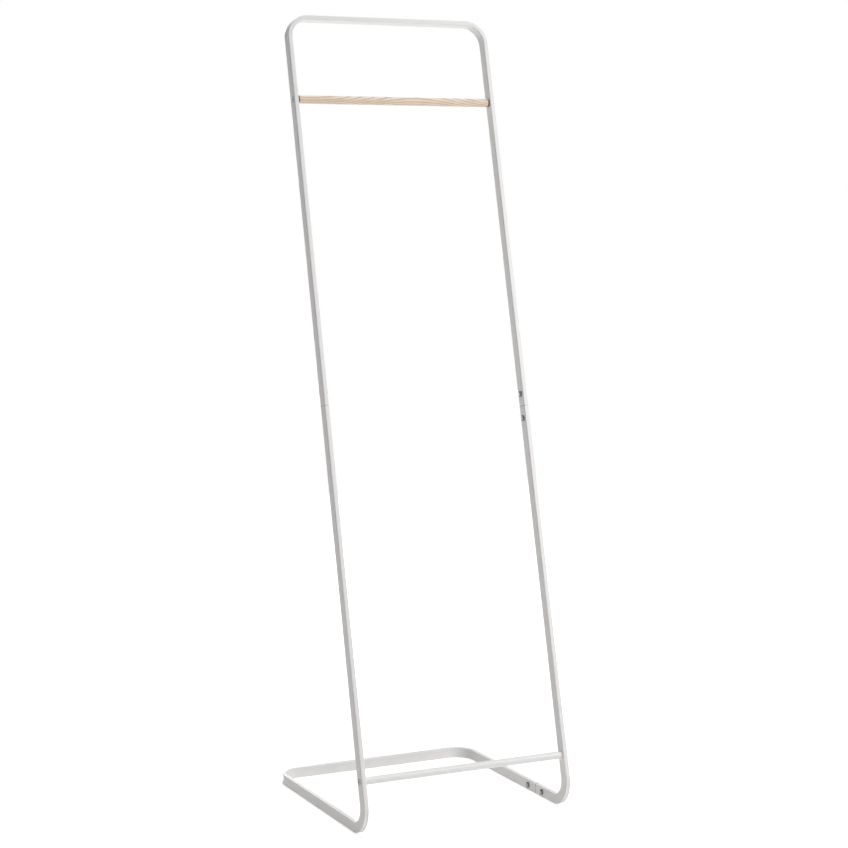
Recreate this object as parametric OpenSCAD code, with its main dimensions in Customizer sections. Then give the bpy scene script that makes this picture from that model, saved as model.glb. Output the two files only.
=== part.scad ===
// Free-standing coat stand of bent flat steel tube.
// The posts rise from the front of a floor loop and lean back. A wood rail
// carries the hangers and a thin steel rail ties the posts near the floor.
// +Z is up, -Y is the front, and the origin is the middle of the footprint.

/* [Overall] */
// Width over the outer faces of the posts
width = 455; // [380:5:560]
// Height from the floor to the top of the frame
height = 1600; // [1400:10:1800]
// Depth on the floor, from the front bends to the back bar
depth = 460; // [400:5:540]
// Lean of the posts from upright, in degrees
lean = 13.8; // [10:0.1:16]

/* [Flat tube] */
// Width of the tube, as seen on the front of a post
tube_w = 10; // [9:0.5:14]
// Depth of the tube, as seen on the side of a post
tube_d = 22; // [19:0.5:28]
// Wall of the tube
tube_wall = 1.2; // [0.9:0.1:1.4]
// Outer radius along the corners of the tube
tube_r = 2; // [1.8:0.1:3]

/* [Bends] */
// Outer radius of the two bends at the top
top_bend_r = 48; // [40:1:70]
// Outer radius of the two bends at the back of the base
back_bend_r = 48; // [40:1:70]
// Outer radius of the front bends, from the floor up into the posts
foot_bend_r = 54; // [46:1:75]
// Depth that bending has drawn the wide outer wall in
wide_dent = 3.6; // [2:0.1:4]
// Depth that bending has drawn the narrow outer wall in
narrow_dent = 1.4; // [0.6:0.1:2]
// Land left flat on each side of the wide dent
wide_land = 2.6; // [2:0.1:4]
// Land left flat on each side of the narrow dent
narrow_land = 1.6; // [1:0.1:2.2]
// Share of a bend's angle that its dent takes
dent_share = 0.86; // [0.6:0.02:0.94]

/* [Seams] */
// Right post seam, measured up the post from its corner on the floor
right_seam = 826; // [600:1:1000]
// Left post seam, measured up the post from its corner on the floor
left_seam = 846; // [600:1:1000]
// Base bar seams, measured back along the floor from the same corner
base_seam = 142.5; // [125:0.5:200]
// Open seam between the two tube ends of a post
post_seam_gap = 0.5; // [0.2:0.1:1.2]
// Open seam between the two tube ends of a base bar
base_seam_gap = 1; // [0.2:0.1:1.5]
// Distance from a post seam to the screw above it and to the one below
post_screw_offset = 25; // [18:1:40]
// Distance from a base seam to the screw in front of it
front_screw_offset = 27; // [18:1:32]
// Distance from a base seam to the screw behind it
back_screw_offset = 32; // [18:1:50]
// Length that a connector runs on past its screws
connector_end = 15; // [10:1:25]
// Clearance round a connector inside the tube
connector_fit = 0.2; // [0.1:0.05:0.4]

/* [Rails] */
// Diameter of the wood hanging rail
hanging_rail_d = 17; // [14:0.5:20]
// Hanging rail axis below the top of the frame, measured along the post
hanging_rail_drop = 175.5; // [120:0.5:300]
// Radius on the ends of the wood rail
hanging_rail_end_r = 2.5; // [1:0.1:3]
// Diameter of the lower steel rail
lower_rail_d = 15; // [12:0.5:18]
// Wall of the lower rail
lower_rail_wall = 1.2; // [0.8:0.1:1.5]
// Lower rail axis, measured up the post from its corner on the floor
lower_rail_up = 113.8; // [100:0.1:200]

/* [Screws] */
// Thread diameter of every screw
thread_d = 6; // [5:0.5:6]
// Diameter of the heads of the joint screws, at the seams
joint_head_d = 11.4; // [9:0.1:13]
// Height of the heads of the joint screws
joint_head_h = 3.5; // [2.8:0.1:5]
// Depth of the cross recess in a joint screw
joint_cross_h = 2; // [1:0.1:2.4]
// Diameter of the heads of the rail screws, on the outer faces
rail_head_d = 12.4; // [11:0.1:14]
// Height of the heads of the rail screws
rail_head_h = 1.4; // [1.3:0.1:3]
// Depth of the cross recess in a rail screw
rail_cross_h = 1; // [0.6:0.1:1.1]
// Length of the slots of the cross recesses
cross_l = 5.8; // [4:0.1:6.4]
// Width of the slots of the cross recesses
cross_w = 1.5; // [0.8:0.1:1.8]
// Length that a rail screw reaches into the end of its rail
rail_grip = 20; // [15:1:30]
// Radial clearance of a screw in a tube wall
hole_fit = 0.25; // [0.1:0.05:0.5]
// Radial clearance of a screw in a tapped hole
thread_fit = 0.05; // [0.02:0.01:0.1]

/* [Fittings in the rails] */
// Diameter of the threaded inserts in the wood rail
insert_d = 9; // [8.5:0.1:10]
// Depth of the grooves round an insert
insert_groove = 0.5; // [0.3:0.1:0.8]
// Number of grooves round an insert
insert_grooves = 5; // [3:1:6]
// Radial clearance of an insert or plug in its bore
press_gap = 0.05; // [0.02:0.01:0.1]
// Length of an insert or plug past the tip of its screw
fitting_end = 2; // [1:0.5:5]

/* [Hidden] */
$fn = 64;

// The two sides: the right one is drawn, and the left one is its mirror image
LEFT = -1;
RIGHT = 1;

// Overrun of a cut past the face that it opens
past = 1;
// Least corner radius of anything that runs inside the tube
least_r = 0.3;
// How much fuller the section is in the front bends, and how far the straights
// lap into them
bend_swell = 0.02;
bend_lap = 0.5;
// Degrees that the groove of a dent runs on past both of its ends
dent_overrun = 3;
// Dome radius of a screw head for each millimetre of its diameter
joint_dome = 0.85;
rail_dome = 1.6;
// How far a joint screw stops short of the far side of its connector
tip_gap = 0.6;
// Share of its pitch that a groove of an insert takes
groove_share = 0.5;

// Places across the width
post_x = width/2 - tube_w/2;
inner_x = width/2 - tube_w;

// Side profile. The floor corner is where the front line of a post would
// meet the floor if the bend were sharp, and posts are measured from it
back_y = depth/2;
foot_y = -depth/2 + foot_bend_r;
foot_run = hundredths(foot_bend_r * (1 + sin(lean)) / cos(lean));
base_seam_y = foot_y - foot_run + base_seam;

// Top of the frame along the post. The corner radius of the tube lowers the
// highest edge of the leaning frame by a little
edge_drop = tube_r * (cos(lean) + sin(lean) - 1);
top_s = foot_run
    + hundredths((height + edge_drop - foot_bend_r * (1 + sin(lean))) / cos(lean));
hanging_rail_s = top_s - hanging_rail_drop;
rail_span = width - 2*tube_w;

// Screws: the joint screws stop inside their connector
joint_screw_l = tube_w - tube_wall - connector_fit - tip_gap;
rail_screw_l = tube_w + rail_grip;
hole_d = thread_d + 2*hole_fit;
tapped_d = thread_d + 2*thread_fit;
tip_chamfer = 0.8;
fitting_l = rail_grip + fitting_end;
plug_d = lower_rail_d - 2*lower_rail_wall - 2*press_gap;

painted = [0.91, 0.91, 0.90];
wood = [0.86, 0.77, 0.65];
zinc = [0.72, 0.73, 0.75];
bare_steel = [0.55, 0.56, 0.58];

// Rounds a length to a hundredth of a millimetre
function hundredths(v) = round(v * 100) / 100;

function post_seam(which) = which == LEFT ? left_seam : right_seam;

// Puts what is drawn for the right side on either side
module on_side(which)
{
    if (which == LEFT) mirror([1, 0, 0]) children();
    else children();
}

// The leaning plane of the posts, turned about the middle of the front bend
module leaning()
{
    translate([0, foot_y, foot_bend_r]) rotate([-lean, 0, 0]) children();
}

// Rectangle w by d with rounded corners, drawn in by inset all round
module flat_section(w, d, inset)
{
    r = max(least_r, tube_r - inset);
    iw = w - 2*inset;
    id = d - 2*inset;
    square([iw - 2*r, id], center = true);
    square([iw, id - 2*r], center = true);
    for (sx = [-1, 1], sy = [-1, 1])
        translate([sx * (iw/2 - r), sy * (id/2 - r)]) circle(r);
}

// Groove that follows the outside of a bend and runs out before its ends. It
// is a ring of larger radius whose centre lies further in than the bend's.
// The bend turns about Z, from angle zero, and across is the width of its
// outer wall. A grown ring keeps the tube's wall behind the groove
module dent(bend_r, turn, across, depth, land, grow)
{
    half_w = across/2 - land;
    ring_r = (half_w*half_w + depth*depth) / (2*depth);
    reach = dent_share * turn/2;
    low_r = bend_r - depth;
    shift = (bend_r*bend_r - low_r*low_r) / (2 * (low_r - bend_r*cos(reach)));
    groove_r = low_r + shift;
    half_angle = acos((bend_r*cos(reach) + shift) / groove_r) + dent_overrun;
    rotate(turn/2) translate([-shift, 0, 0]) rotate(-half_angle)
        rotate_extrude(angle = 2*half_angle)
            translate([groove_r + ring_r, 0]) circle(ring_r + grow);
}

// A bore across a post or bar, along X
module cross_bore(d, from, to)
{
    translate([from, 0, 0]) rotate([0, 90, 0]) cylinder(d = d, h = to - from);
}

// Hole for a joint screw, through the inner wall alone
module joint_hole()
{
    cross_bore(hole_d, inner_x - past, inner_x + tube_wall + past);
}

// Hole for a rail screw, through both walls
module rail_hole()
{
    cross_bore(hole_d, inner_x - past, width/2 + past);
}

// A place on the middle line of the posts, s up from the floor corner, with Z
// up along the post and Y in from its front face
module on_post(s)
{
    leaning() translate([0, tube_d/2 - foot_bend_r, s - foot_run]) children();
}

// A place on the middle line of the base bars, with Z back along the floor
module on_base_bar(back)
{
    translate([0, base_seam_y + back, tube_d/2]) rotate([-90, 0, 0]) children();
}

// The solid run of the upper frame, drawn in by inset
module upper_run(inset)
{
    over = inset > 0 ? past : 0;
    for (which = [LEFT, RIGHT]) on_side(which) {
        start = post_seam(which) + post_seam_gap/2;
        on_post(start - over) translate([post_x, 0, 0])
            linear_extrude(top_s - top_bend_r - start + over)
                flat_section(tube_w, tube_d, inset);
        top_bend() rotate_extrude(angle = 90)
            translate([top_bend_r - tube_w/2, 0]) flat_section(tube_w, tube_d, inset);
    }
    on_post(top_s - tube_w/2) translate([top_bend_r - width/2, 0, 0]) rotate([0, 90, 0])
        linear_extrude(width - 2*top_bend_r) flat_section(tube_w, tube_d, inset);
}

// Plane of the top bend, turned so that the bend runs from the X axis to Y
module top_bend()
{
    on_post(top_s - top_bend_r) translate([width/2 - top_bend_r, 0, 0])
        rotate([90, 0, 0]) children();
}

module upper_dents(grow)
{
    for (which = [LEFT, RIGHT]) on_side(which) top_bend()
        dent(top_bend_r, 90, tube_d, wide_dent, wide_land, grow);
}

module upper_frame()
{
    color(painted) difference() {
        upper_run(0);
        difference() {
            upper_run(tube_wall);
            upper_dents(tube_wall);
        }
        upper_dents(0);
        for (which = [LEFT, RIGHT]) on_side(which) {
            on_post(post_seam(which) + post_screw_offset) joint_hole();
            on_post(hanging_rail_s) rail_hole();
        }
    }
}

// Plane of the front bend, turned so that the bend starts on the post
module foot_bend()
{
    leaning() translate([post_x, 0, 0]) rotate([90, 0, 90]) rotate(180) children();
}

// The solid run of a leg: post, front bend and the start of the base bar. The
// bend is a hair fuller than the straights, which lap a little way into it
module leg_run(which, inset)
{
    over = inset > 0 ? past : 0;
    post_start = foot_run - bend_lap;
    bar_start = foot_y - bend_lap;
    on_post(post_start) translate([post_x, 0, 0])
        linear_extrude(post_seam(which) - post_seam_gap/2 - post_start + over)
            flat_section(tube_w, tube_d, inset);
    foot_bend() rotate_extrude(angle = 90 + lean) translate([foot_bend_r - tube_d/2, 0])
        flat_section(tube_d, tube_w, inset - bend_swell);
    on_base_bar(bar_start - base_seam_y) translate([post_x, 0, 0])
        linear_extrude(base_seam_y - base_seam_gap/2 - bar_start + over)
            flat_section(tube_w, tube_d, inset);
}

module foot_dent(grow)
{
    foot_bend() dent(foot_bend_r, 90 + lean, tube_w, narrow_dent, narrow_land, grow);
}

module leg(which)
{
    color(painted) on_side(which) difference() {
        leg_run(which, 0);
        difference() {
            leg_run(which, tube_wall);
            foot_dent(tube_wall);
        }
        foot_dent(0);
        on_post(post_seam(which) - post_screw_offset) joint_hole();
        on_post(lower_rail_up) rail_hole();
        on_base_bar(-front_screw_offset) joint_hole();
    }
}

// The solid run of the base frame: side bars, back corners and back bar
module base_run(inset)
{
    over = inset > 0 ? past : 0;
    for (which = [LEFT, RIGHT]) on_side(which) {
        on_base_bar(base_seam_gap/2 - over) translate([post_x, 0, 0])
            linear_extrude(back_y - back_bend_r - base_seam_y - base_seam_gap/2 + over)
                flat_section(tube_w, tube_d, inset);
        back_bend() rotate_extrude(angle = 90)
            translate([back_bend_r - tube_w/2, 0]) flat_section(tube_w, tube_d, inset);
    }
    translate([back_bend_r - width/2, back_y - tube_w/2, tube_d/2]) rotate([0, 90, 0])
        linear_extrude(width - 2*back_bend_r) flat_section(tube_d, tube_w, inset);
}

module back_bend()
{
    translate([width/2 - back_bend_r, back_y - back_bend_r, tube_d/2]) children();
}

module base_dents(grow)
{
    for (which = [LEFT, RIGHT]) on_side(which) back_bend()
        dent(back_bend_r, 90, tube_d, wide_dent, wide_land, grow);
}

module base_frame()
{
    color(painted) difference() {
        base_run(0);
        difference() {
            base_run(tube_wall);
            base_dents(tube_wall);
        }
        base_dents(0);
        for (which = [LEFT, RIGHT]) on_side(which)
            on_base_bar(back_screw_offset) joint_hole();
    }
}

// Rails run along X, centred between the posts, and butt against them
module hanging_rail()
{
    half = rail_span/2;
    r = hanging_rail_end_r;
    color(wood) on_post(hanging_rail_s) rotate([0, 90, 0]) difference() {
        rotate_extrude() {
            translate([0, -half]) square([hanging_rail_d/2 - r, 2*half]);
            translate([0, r - half]) square([hanging_rail_d/2, 2*half - 2*r]);
            for (end = [-1, 1])
                translate([hanging_rail_d/2 - r, end * (half - r)]) circle(r);
        }
        for (end = [-1, 1]) at_end(end) translate([0, 0, half - fitting_l - press_gap])
            cylinder(d = insert_d + 2*press_gap, h = fitting_l + press_gap + past);
    }
}

// Turns what is drawn at the far end of a rail to either end
module at_end(end)
{
    if (end < 0) mirror([0, 0, 1]) children();
    else children();
}

module lower_rail()
{
    color(painted) on_post(lower_rail_up) rotate([0, 90, 0]) difference() {
        cylinder(d = lower_rail_d, h = rail_span, center = true);
        cylinder(d = lower_rail_d - 2*lower_rail_wall, h = rail_span + 2*past, center = true);
    }
}

// Bar inside the tube with two tapped holes, along Z from its seam
module connector(below, above)
{
    inset = tube_wall + connector_fit;
    color(bare_steel) difference() {
        translate([post_x, 0, -below - connector_end])
            linear_extrude(below + above + 2*connector_end) flat_section(tube_w, tube_d, inset);
        for (z = [-below, above]) translate([0, 0, z])
            cross_bore(tapped_d, inner_x, width/2);
    }
}

module post_connector(which)
{
    on_side(which) on_post(post_seam(which))
        connector(post_screw_offset, post_screw_offset);
}

module base_connector(which)
{
    on_side(which) on_base_bar(0) connector(front_screw_offset, back_screw_offset);
}

// Domed screw with a cross recess. Its seat is at the origin, its head is up
// and its shank of length l points down
module screw(l, head_d, head_h, dome_r, cross_h)
{
    color(zinc) {
        difference() {
            intersection() {
                cylinder(d = head_d, h = head_h);
                translate([0, 0, head_h - dome_r]) sphere(dome_r);
            }
            for (a = [0, 90]) rotate(a) translate([-cross_l/2, -cross_w/2, head_h - cross_h])
                cube([cross_l, cross_w, cross_h + past]);
        }
        translate([0, 0, -l + tip_chamfer]) cylinder(d = thread_d, h = l - tip_chamfer);
        translate([0, 0, -l])
            cylinder(d1 = thread_d - 2*tip_chamfer, d2 = thread_d, h = tip_chamfer);
    }
}

// Screw on the inner face of the right side, head towards the middle
module joint_screw()
{
    translate([inner_x, 0, 0]) rotate([0, -90, 0])
        screw(joint_screw_l, joint_head_d, joint_head_h, joint_dome * joint_head_d, joint_cross_h);
}

// Screw on the outer face of the right side, head outwards
module rail_screw()
{
    translate([width/2, 0, 0]) rotate([0, 90, 0])
        screw(rail_screw_l, rail_head_d, rail_head_h, rail_dome * rail_head_d, rail_cross_h);
}

module post_screw(which, up)
{
    on_side(which) on_post(post_seam(which) + up * post_screw_offset) joint_screw();
}

module base_screw(which, back)
{
    on_side(which) on_base_bar(back) joint_screw();
}

// Grooved insert in the end of the wood rail, its mouth flush with the rail
module rail_insert(which)
{
    pitch = fitting_l / (insert_grooves + groove_share);
    color(zinc) on_side(which) on_post(hanging_rail_s)
        translate([inner_x, 0, 0]) rotate([0, -90, 0]) difference() {
            cylinder(d = insert_d, h = fitting_l);
            translate([0, 0, -past]) cylinder(d = tapped_d, h = fitting_l + 2*past);
            for (i = [0 : insert_grooves - 1]) translate([0, 0, (i + groove_share) * pitch])
                rotate_extrude() translate([insert_d/2 - insert_groove, 0])
                    square([insert_groove + past, pitch * groove_share]);
        }
}

// Plug in the end of the lower rail, tapped for its screw
module rail_plug(which)
{
    color(bare_steel) on_side(which) on_post(lower_rail_up)
        translate([inner_x, 0, 0]) rotate([0, -90, 0]) difference() {
            cylinder(d = plug_d, h = fitting_l);
            translate([0, 0, -past]) cylinder(d = tapped_d, h = fitting_l + 2*past);
        }
}

module left_leg() leg(LEFT);
module right_leg() leg(RIGHT);
module left_post_connector() post_connector(LEFT);
module right_post_connector() post_connector(RIGHT);
module left_base_connector() base_connector(LEFT);
module right_base_connector() base_connector(RIGHT);
module left_post_screw_upper() post_screw(LEFT, 1);
module left_post_screw_lower() post_screw(LEFT, -1);
module right_post_screw_upper() post_screw(RIGHT, 1);
module right_post_screw_lower() post_screw(RIGHT, -1);
module left_base_screw_front() base_screw(LEFT, -front_screw_offset);
module left_base_screw_back() base_screw(LEFT, back_screw_offset);
module right_base_screw_front() base_screw(RIGHT, -front_screw_offset);
module right_base_screw_back() base_screw(RIGHT, back_screw_offset);
module left_hanging_rail_screw() on_side(LEFT) on_post(hanging_rail_s) rail_screw();
module right_hanging_rail_screw() on_side(RIGHT) on_post(hanging_rail_s) rail_screw();
module left_lower_rail_screw() on_side(LEFT) on_post(lower_rail_up) rail_screw();
module right_lower_rail_screw() on_side(RIGHT) on_post(lower_rail_up) rail_screw();
module left_rail_insert() rail_insert(LEFT);
module right_rail_insert() rail_insert(RIGHT);
module left_rail_plug() rail_plug(LEFT);
module right_rail_plug() rail_plug(RIGHT);

upper_frame();
left_leg();
right_leg();
base_frame();
hanging_rail();
lower_rail();
left_post_connector();
right_post_connector();
left_base_connector();
right_base_connector();
left_post_screw_upper();
left_post_screw_lower();
right_post_screw_upper();
right_post_screw_lower();
left_base_screw_front();
left_base_screw_back();
right_base_screw_front();
right_base_screw_back();
left_hanging_rail_screw();
right_hanging_rail_screw();
left_lower_rail_screw();
right_lower_rail_screw();
left_rail_insert();
right_rail_insert();
left_rail_plug();
right_rail_plug();
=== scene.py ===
"""Looks of the coat stand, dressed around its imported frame.

Four bent flat tubes, two rails and twelve screws are meshes that stand for
their solids. The fittings inside the tubes and rails keep their solids and get
a finish. Lengths are metres, and MM turns millimetres into metres.
"""

from __future__ import annotations

import logging
import math
from abc import ABC, abstractmethod
from dataclasses import dataclass
from enum import Enum
from typing import Mapping, Sequence, Union

import bmesh
import bpy
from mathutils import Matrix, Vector

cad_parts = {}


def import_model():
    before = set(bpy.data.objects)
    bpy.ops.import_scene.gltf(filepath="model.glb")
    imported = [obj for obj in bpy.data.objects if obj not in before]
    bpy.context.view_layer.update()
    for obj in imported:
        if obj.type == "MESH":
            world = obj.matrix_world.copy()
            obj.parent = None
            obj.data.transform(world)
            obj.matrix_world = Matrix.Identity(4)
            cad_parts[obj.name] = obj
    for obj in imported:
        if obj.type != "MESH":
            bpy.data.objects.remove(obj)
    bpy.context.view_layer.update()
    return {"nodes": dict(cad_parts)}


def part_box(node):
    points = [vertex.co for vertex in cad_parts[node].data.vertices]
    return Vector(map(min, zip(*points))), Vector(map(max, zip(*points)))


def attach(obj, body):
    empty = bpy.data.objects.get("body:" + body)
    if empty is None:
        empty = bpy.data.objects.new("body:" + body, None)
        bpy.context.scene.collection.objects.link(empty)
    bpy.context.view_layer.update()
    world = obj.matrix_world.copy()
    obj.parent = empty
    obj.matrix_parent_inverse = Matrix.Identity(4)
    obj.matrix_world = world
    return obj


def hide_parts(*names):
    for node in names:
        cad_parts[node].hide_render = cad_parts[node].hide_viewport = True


MM = 0.001
ACROSS = Vector((1.0, 0.0, 0.0)).freeze()
UPWARD = Vector((0.0, 0.0, 1.0)).freeze()
WHITE = (1.0, 1.0, 1.0)
BODY = "root"
# Face attribute of painted shade: it darkens a screw's ring, side and recess and the sawn tube ends in
# the seams
PAINTED_SHADE = "shade"

log = logging.getLogger("coat_stand")

# What a node's input takes, and shapes of values that several classes share
Plug = Union[
    float, int, bool, str, Sequence[float], bpy.types.NodeSocket, Sequence[bpy.types.NodeSocket]
]
Inputs = Mapping[Union[str, int], Plug]
Colour = tuple[float, float, float]
Outline = list[tuple[float, float]]


class Side(Enum):
    """The two sides of the stand, by the sign of X."""

    LEFT = -1
    RIGHT = 1

    @property
    def word(self) -> str:
        """The side's name as the nodes spell it."""
        return self.name.lower()


class Slot(Enum):
    """The record's material slots, one for each finish of the new pieces."""

    POWDER_COAT = "powder_coat"
    PALE_WOOD = "pale_wood"
    ZINC_PLATE = "zinc_plate"


class Bending(Enum):
    """Which way a flat tube is bent."""

    FLATWISE = "the wide wall faces out"
    EDGEWISE = "the narrow wall faces out"


class Facing(Enum):
    """Which way a screw's head faces, from the stand's middle plane."""

    OUT = 1.0
    IN = -1.0


class Kind(Enum):
    """Kinds of named sockets on a node tree."""

    GEOMETRY = "NodeSocketGeometry"
    FLOAT = "NodeSocketFloat"
    INT = "NodeSocketInt"
    VECTOR = "NodeSocketVector"
    MATERIAL = "NodeSocketMaterial"


class Layout:
    """Adds nodes to one node tree and joins them."""

    def __init__(self, tree: bpy.types.NodeTree) -> None:
        """Starts on a tree.

        Args:
            tree: the node tree to fill.
        """
        self.tree = tree

    def plug(self, socket: bpy.types.NodeSocket, value: Plug) -> None:
        """Sets an input's value, or joins one output or each of a list of outputs to it.

        Args:
            socket: the input.
            value: its value, output socket or list of output sockets.
        """
        if isinstance(value, (list, bpy.types.NodeSocket)):
            for source in value if isinstance(value, list) else [value]:
                self.tree.links.new(source, socket)
        else:
            socket.default_value = value

    def node(self, kind: str, inputs: Inputs | None = None, **settings: object) -> bpy.types.Node:
        """Adds one node.

        Args:
            kind: identifier of the node type.
            inputs: value, output socket or list of output sockets for each input.
            settings: the node's own properties.

        Returns:
            The new node.
        """
        made = self.tree.nodes.new(kind)
        for setting, value in settings.items():
            setattr(made, setting, value)
        for key, value in (inputs or {}).items():
            self.plug(made.inputs[key], value)
        return made

    def put(self, kind: str, inputs: Inputs | None = None, **settings: object) -> bpy.types.NodeSocket:
        """Adds one node and returns its first live output; the arguments are those of node()."""
        return next(s for s in self.node(kind, inputs, **settings).outputs if s.enabled)

    def math(self, operation: str, *values: Plug) -> bpy.types.NodeSocket:
        """Adds a Math node on the given values."""
        return self.put("ShaderNodeMath", dict(enumerate(values)), operation=operation)

    def vector(self, operation: str, *values: Plug) -> bpy.types.NodeSocket:
        """Adds a Vector Math node on the given vectors."""
        return self.put("ShaderNodeVectorMath", dict(enumerate(values)), operation=operation)

    def scaled(self, vector: Plug, factor: Plug) -> bpy.types.NodeSocket:
        """Multiplies a vector by a number."""
        return self.put("ShaderNodeVectorMath", {0: vector, "Scale": factor}, operation="SCALE")

    def joined(self, x: Plug, y: Plug, z: Plug) -> bpy.types.NodeSocket:
        """Makes a vector of three numbers."""
        return self.put("ShaderNodeCombineXYZ", {0: x, 1: y, 2: z})

    def split(self, vector: Plug) -> Sequence[bpy.types.NodeSocket]:
        """The three numbers of a vector."""
        return self.node("ShaderNodeSeparateXYZ", {0: vector}).outputs

    def mixed(self, share: Plug, low: Plug, high: Plug) -> bpy.types.NodeSocket:
        """A number from low to high by a share."""
        return self.put("ShaderNodeMix", {0: share, 2: low, 3: high}, data_type="FLOAT")

    def ranged(
        self, value: Plug, low: float, high: float, start: float = 0.0, end: float = 1.0
    ) -> bpy.types.NodeSocket:
        """Goes from low to high as a value goes from start to end.

        Args:
            value: the value.
            low: the result at the start, and before it.
            high: the result at the end, and past it.
            start: where the result begins to change.
            end: where it has changed.

        Returns:
            The result.
        """
        return self.put(
            "ShaderNodeMapRange",
            {"Value": value, "From Min": start, "From Max": end, "To Min": low, "To Max": high},
        )

    def half(self, value: Plug) -> bpy.types.NodeSocket:
        """Half a number."""
        return self.math("MULTIPLY", value, 0.5)

    def square(self, value: Plug) -> bpy.types.NodeSocket:
        """A number times itself."""
        return self.math("MULTIPLY", value, value)

    def hump(self, place: Plug, power: Plug) -> bpy.types.NodeSocket:
        """One in the middle and zero from place -1 and 1 on, as (1 - place squared) to a power."""
        fall = self.math("SUBTRACT", 1.0, self.square(place))
        return self.math("POWER", self.math("MAXIMUM", fall, 0.0), power)


class NamedTree(Layout):
    """A node tree with named inputs and outputs."""

    def __init__(
        self, name: str, kind: str, inputs: Mapping[str, Kind], outputs: Mapping[str, Kind]
    ) -> None:
        """Makes the tree and its sockets.

        Args:
            name: name of the tree.
            kind: identifier of the tree type.
            inputs: kind of each input, by name.
            outputs: kind of each output, by name.
        """
        super().__init__(bpy.data.node_groups.new(name, kind))
        for socket, socket_kind in inputs.items():
            self.tree.interface.new_socket(socket, in_out="INPUT", socket_type=socket_kind.value)
        for socket, socket_kind in outputs.items():
            self.tree.interface.new_socket(socket, in_out="OUTPUT", socket_type=socket_kind.value)
        self.given = self.node("NodeGroupInput").outputs

    def finish(self, results: Mapping[str, bpy.types.NodeSocket]) -> bpy.types.NodeTree:
        """Joins the results to the tree's outputs and returns the tree."""
        self.node("NodeGroupOutput", results)
        return self.tree


class ShapeTree(NamedTree):
    """A Geometry Nodes tree that works on its object's own mesh."""

    def __init__(self, name: str, inputs: Mapping[str, Kind]) -> None:
        """Makes the tree with the object's mesh and a finish among its inputs.

        Args:
            name: name of the tree.
            inputs: kind of each size, by name.
        """
        every = {"Seed": Kind.GEOMETRY, **inputs, "Finish": Kind.MATERIAL}
        super().__init__(name, "GeometryNodeTree", every, {"Shape": Kind.GEOMETRY})

    def captured(
        self, geometry: bpy.types.NodeSocket, values: Sequence[tuple[str, bpy.types.NodeSocket]]
    ) -> Sequence[bpy.types.NodeSocket]:
        """Keeps fields on a geometry's points.

        Args:
            geometry: the geometry that keeps them.
            values: type and field of each.

        Returns:
            The geometry and then each kept field.
        """
        keeper = self.node("GeometryNodeCaptureAttribute", {"Geometry": geometry})
        for place, (data_type, value) in enumerate(values):
            keeper.capture_items.new(data_type, f"kept {place}")
            self.plug(keeper.inputs[place + 1], value)
        return keeper.outputs

    def moved(self, geometry: bpy.types.NodeSocket, offset: Plug) -> bpy.types.NodeSocket:
        """Moves a geometry's points by an offset."""
        return self.put("GeometryNodeSetPosition", {"Geometry": geometry, "Offset": offset})

    def filleted(self, curve: Plug, radius: Plug, steps: Plug) -> bpy.types.NodeSocket:
        """Rounds a curve's corners with straight steps."""
        return self.put(
            "GeometryNodeFilletCurve",
            {"Curve": curve, "Count": steps, "Radius": radius, "Limit Radius": True},
            mode="POLY",
        )

    def dressed(self, geometry: bpy.types.NodeSocket) -> bpy.types.NodeTree:
        """Ends the tree: real geometry, smooth, in its finish.

        Args:
            geometry: the shape.

        Returns:
            The tree.
        """
        real = self.put("GeometryNodeRealizeInstances", {"Geometry": geometry})
        smooth = self.put("GeometryNodeSetShadeSmooth", {"Geometry": real, "Shade Smooth": True})
        painted = self.put(
            "GeometryNodeSetMaterial", {"Geometry": smooth, "Material": self.given["Finish"]}
        )
        return self.finish({"Shape": painted})


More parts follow.
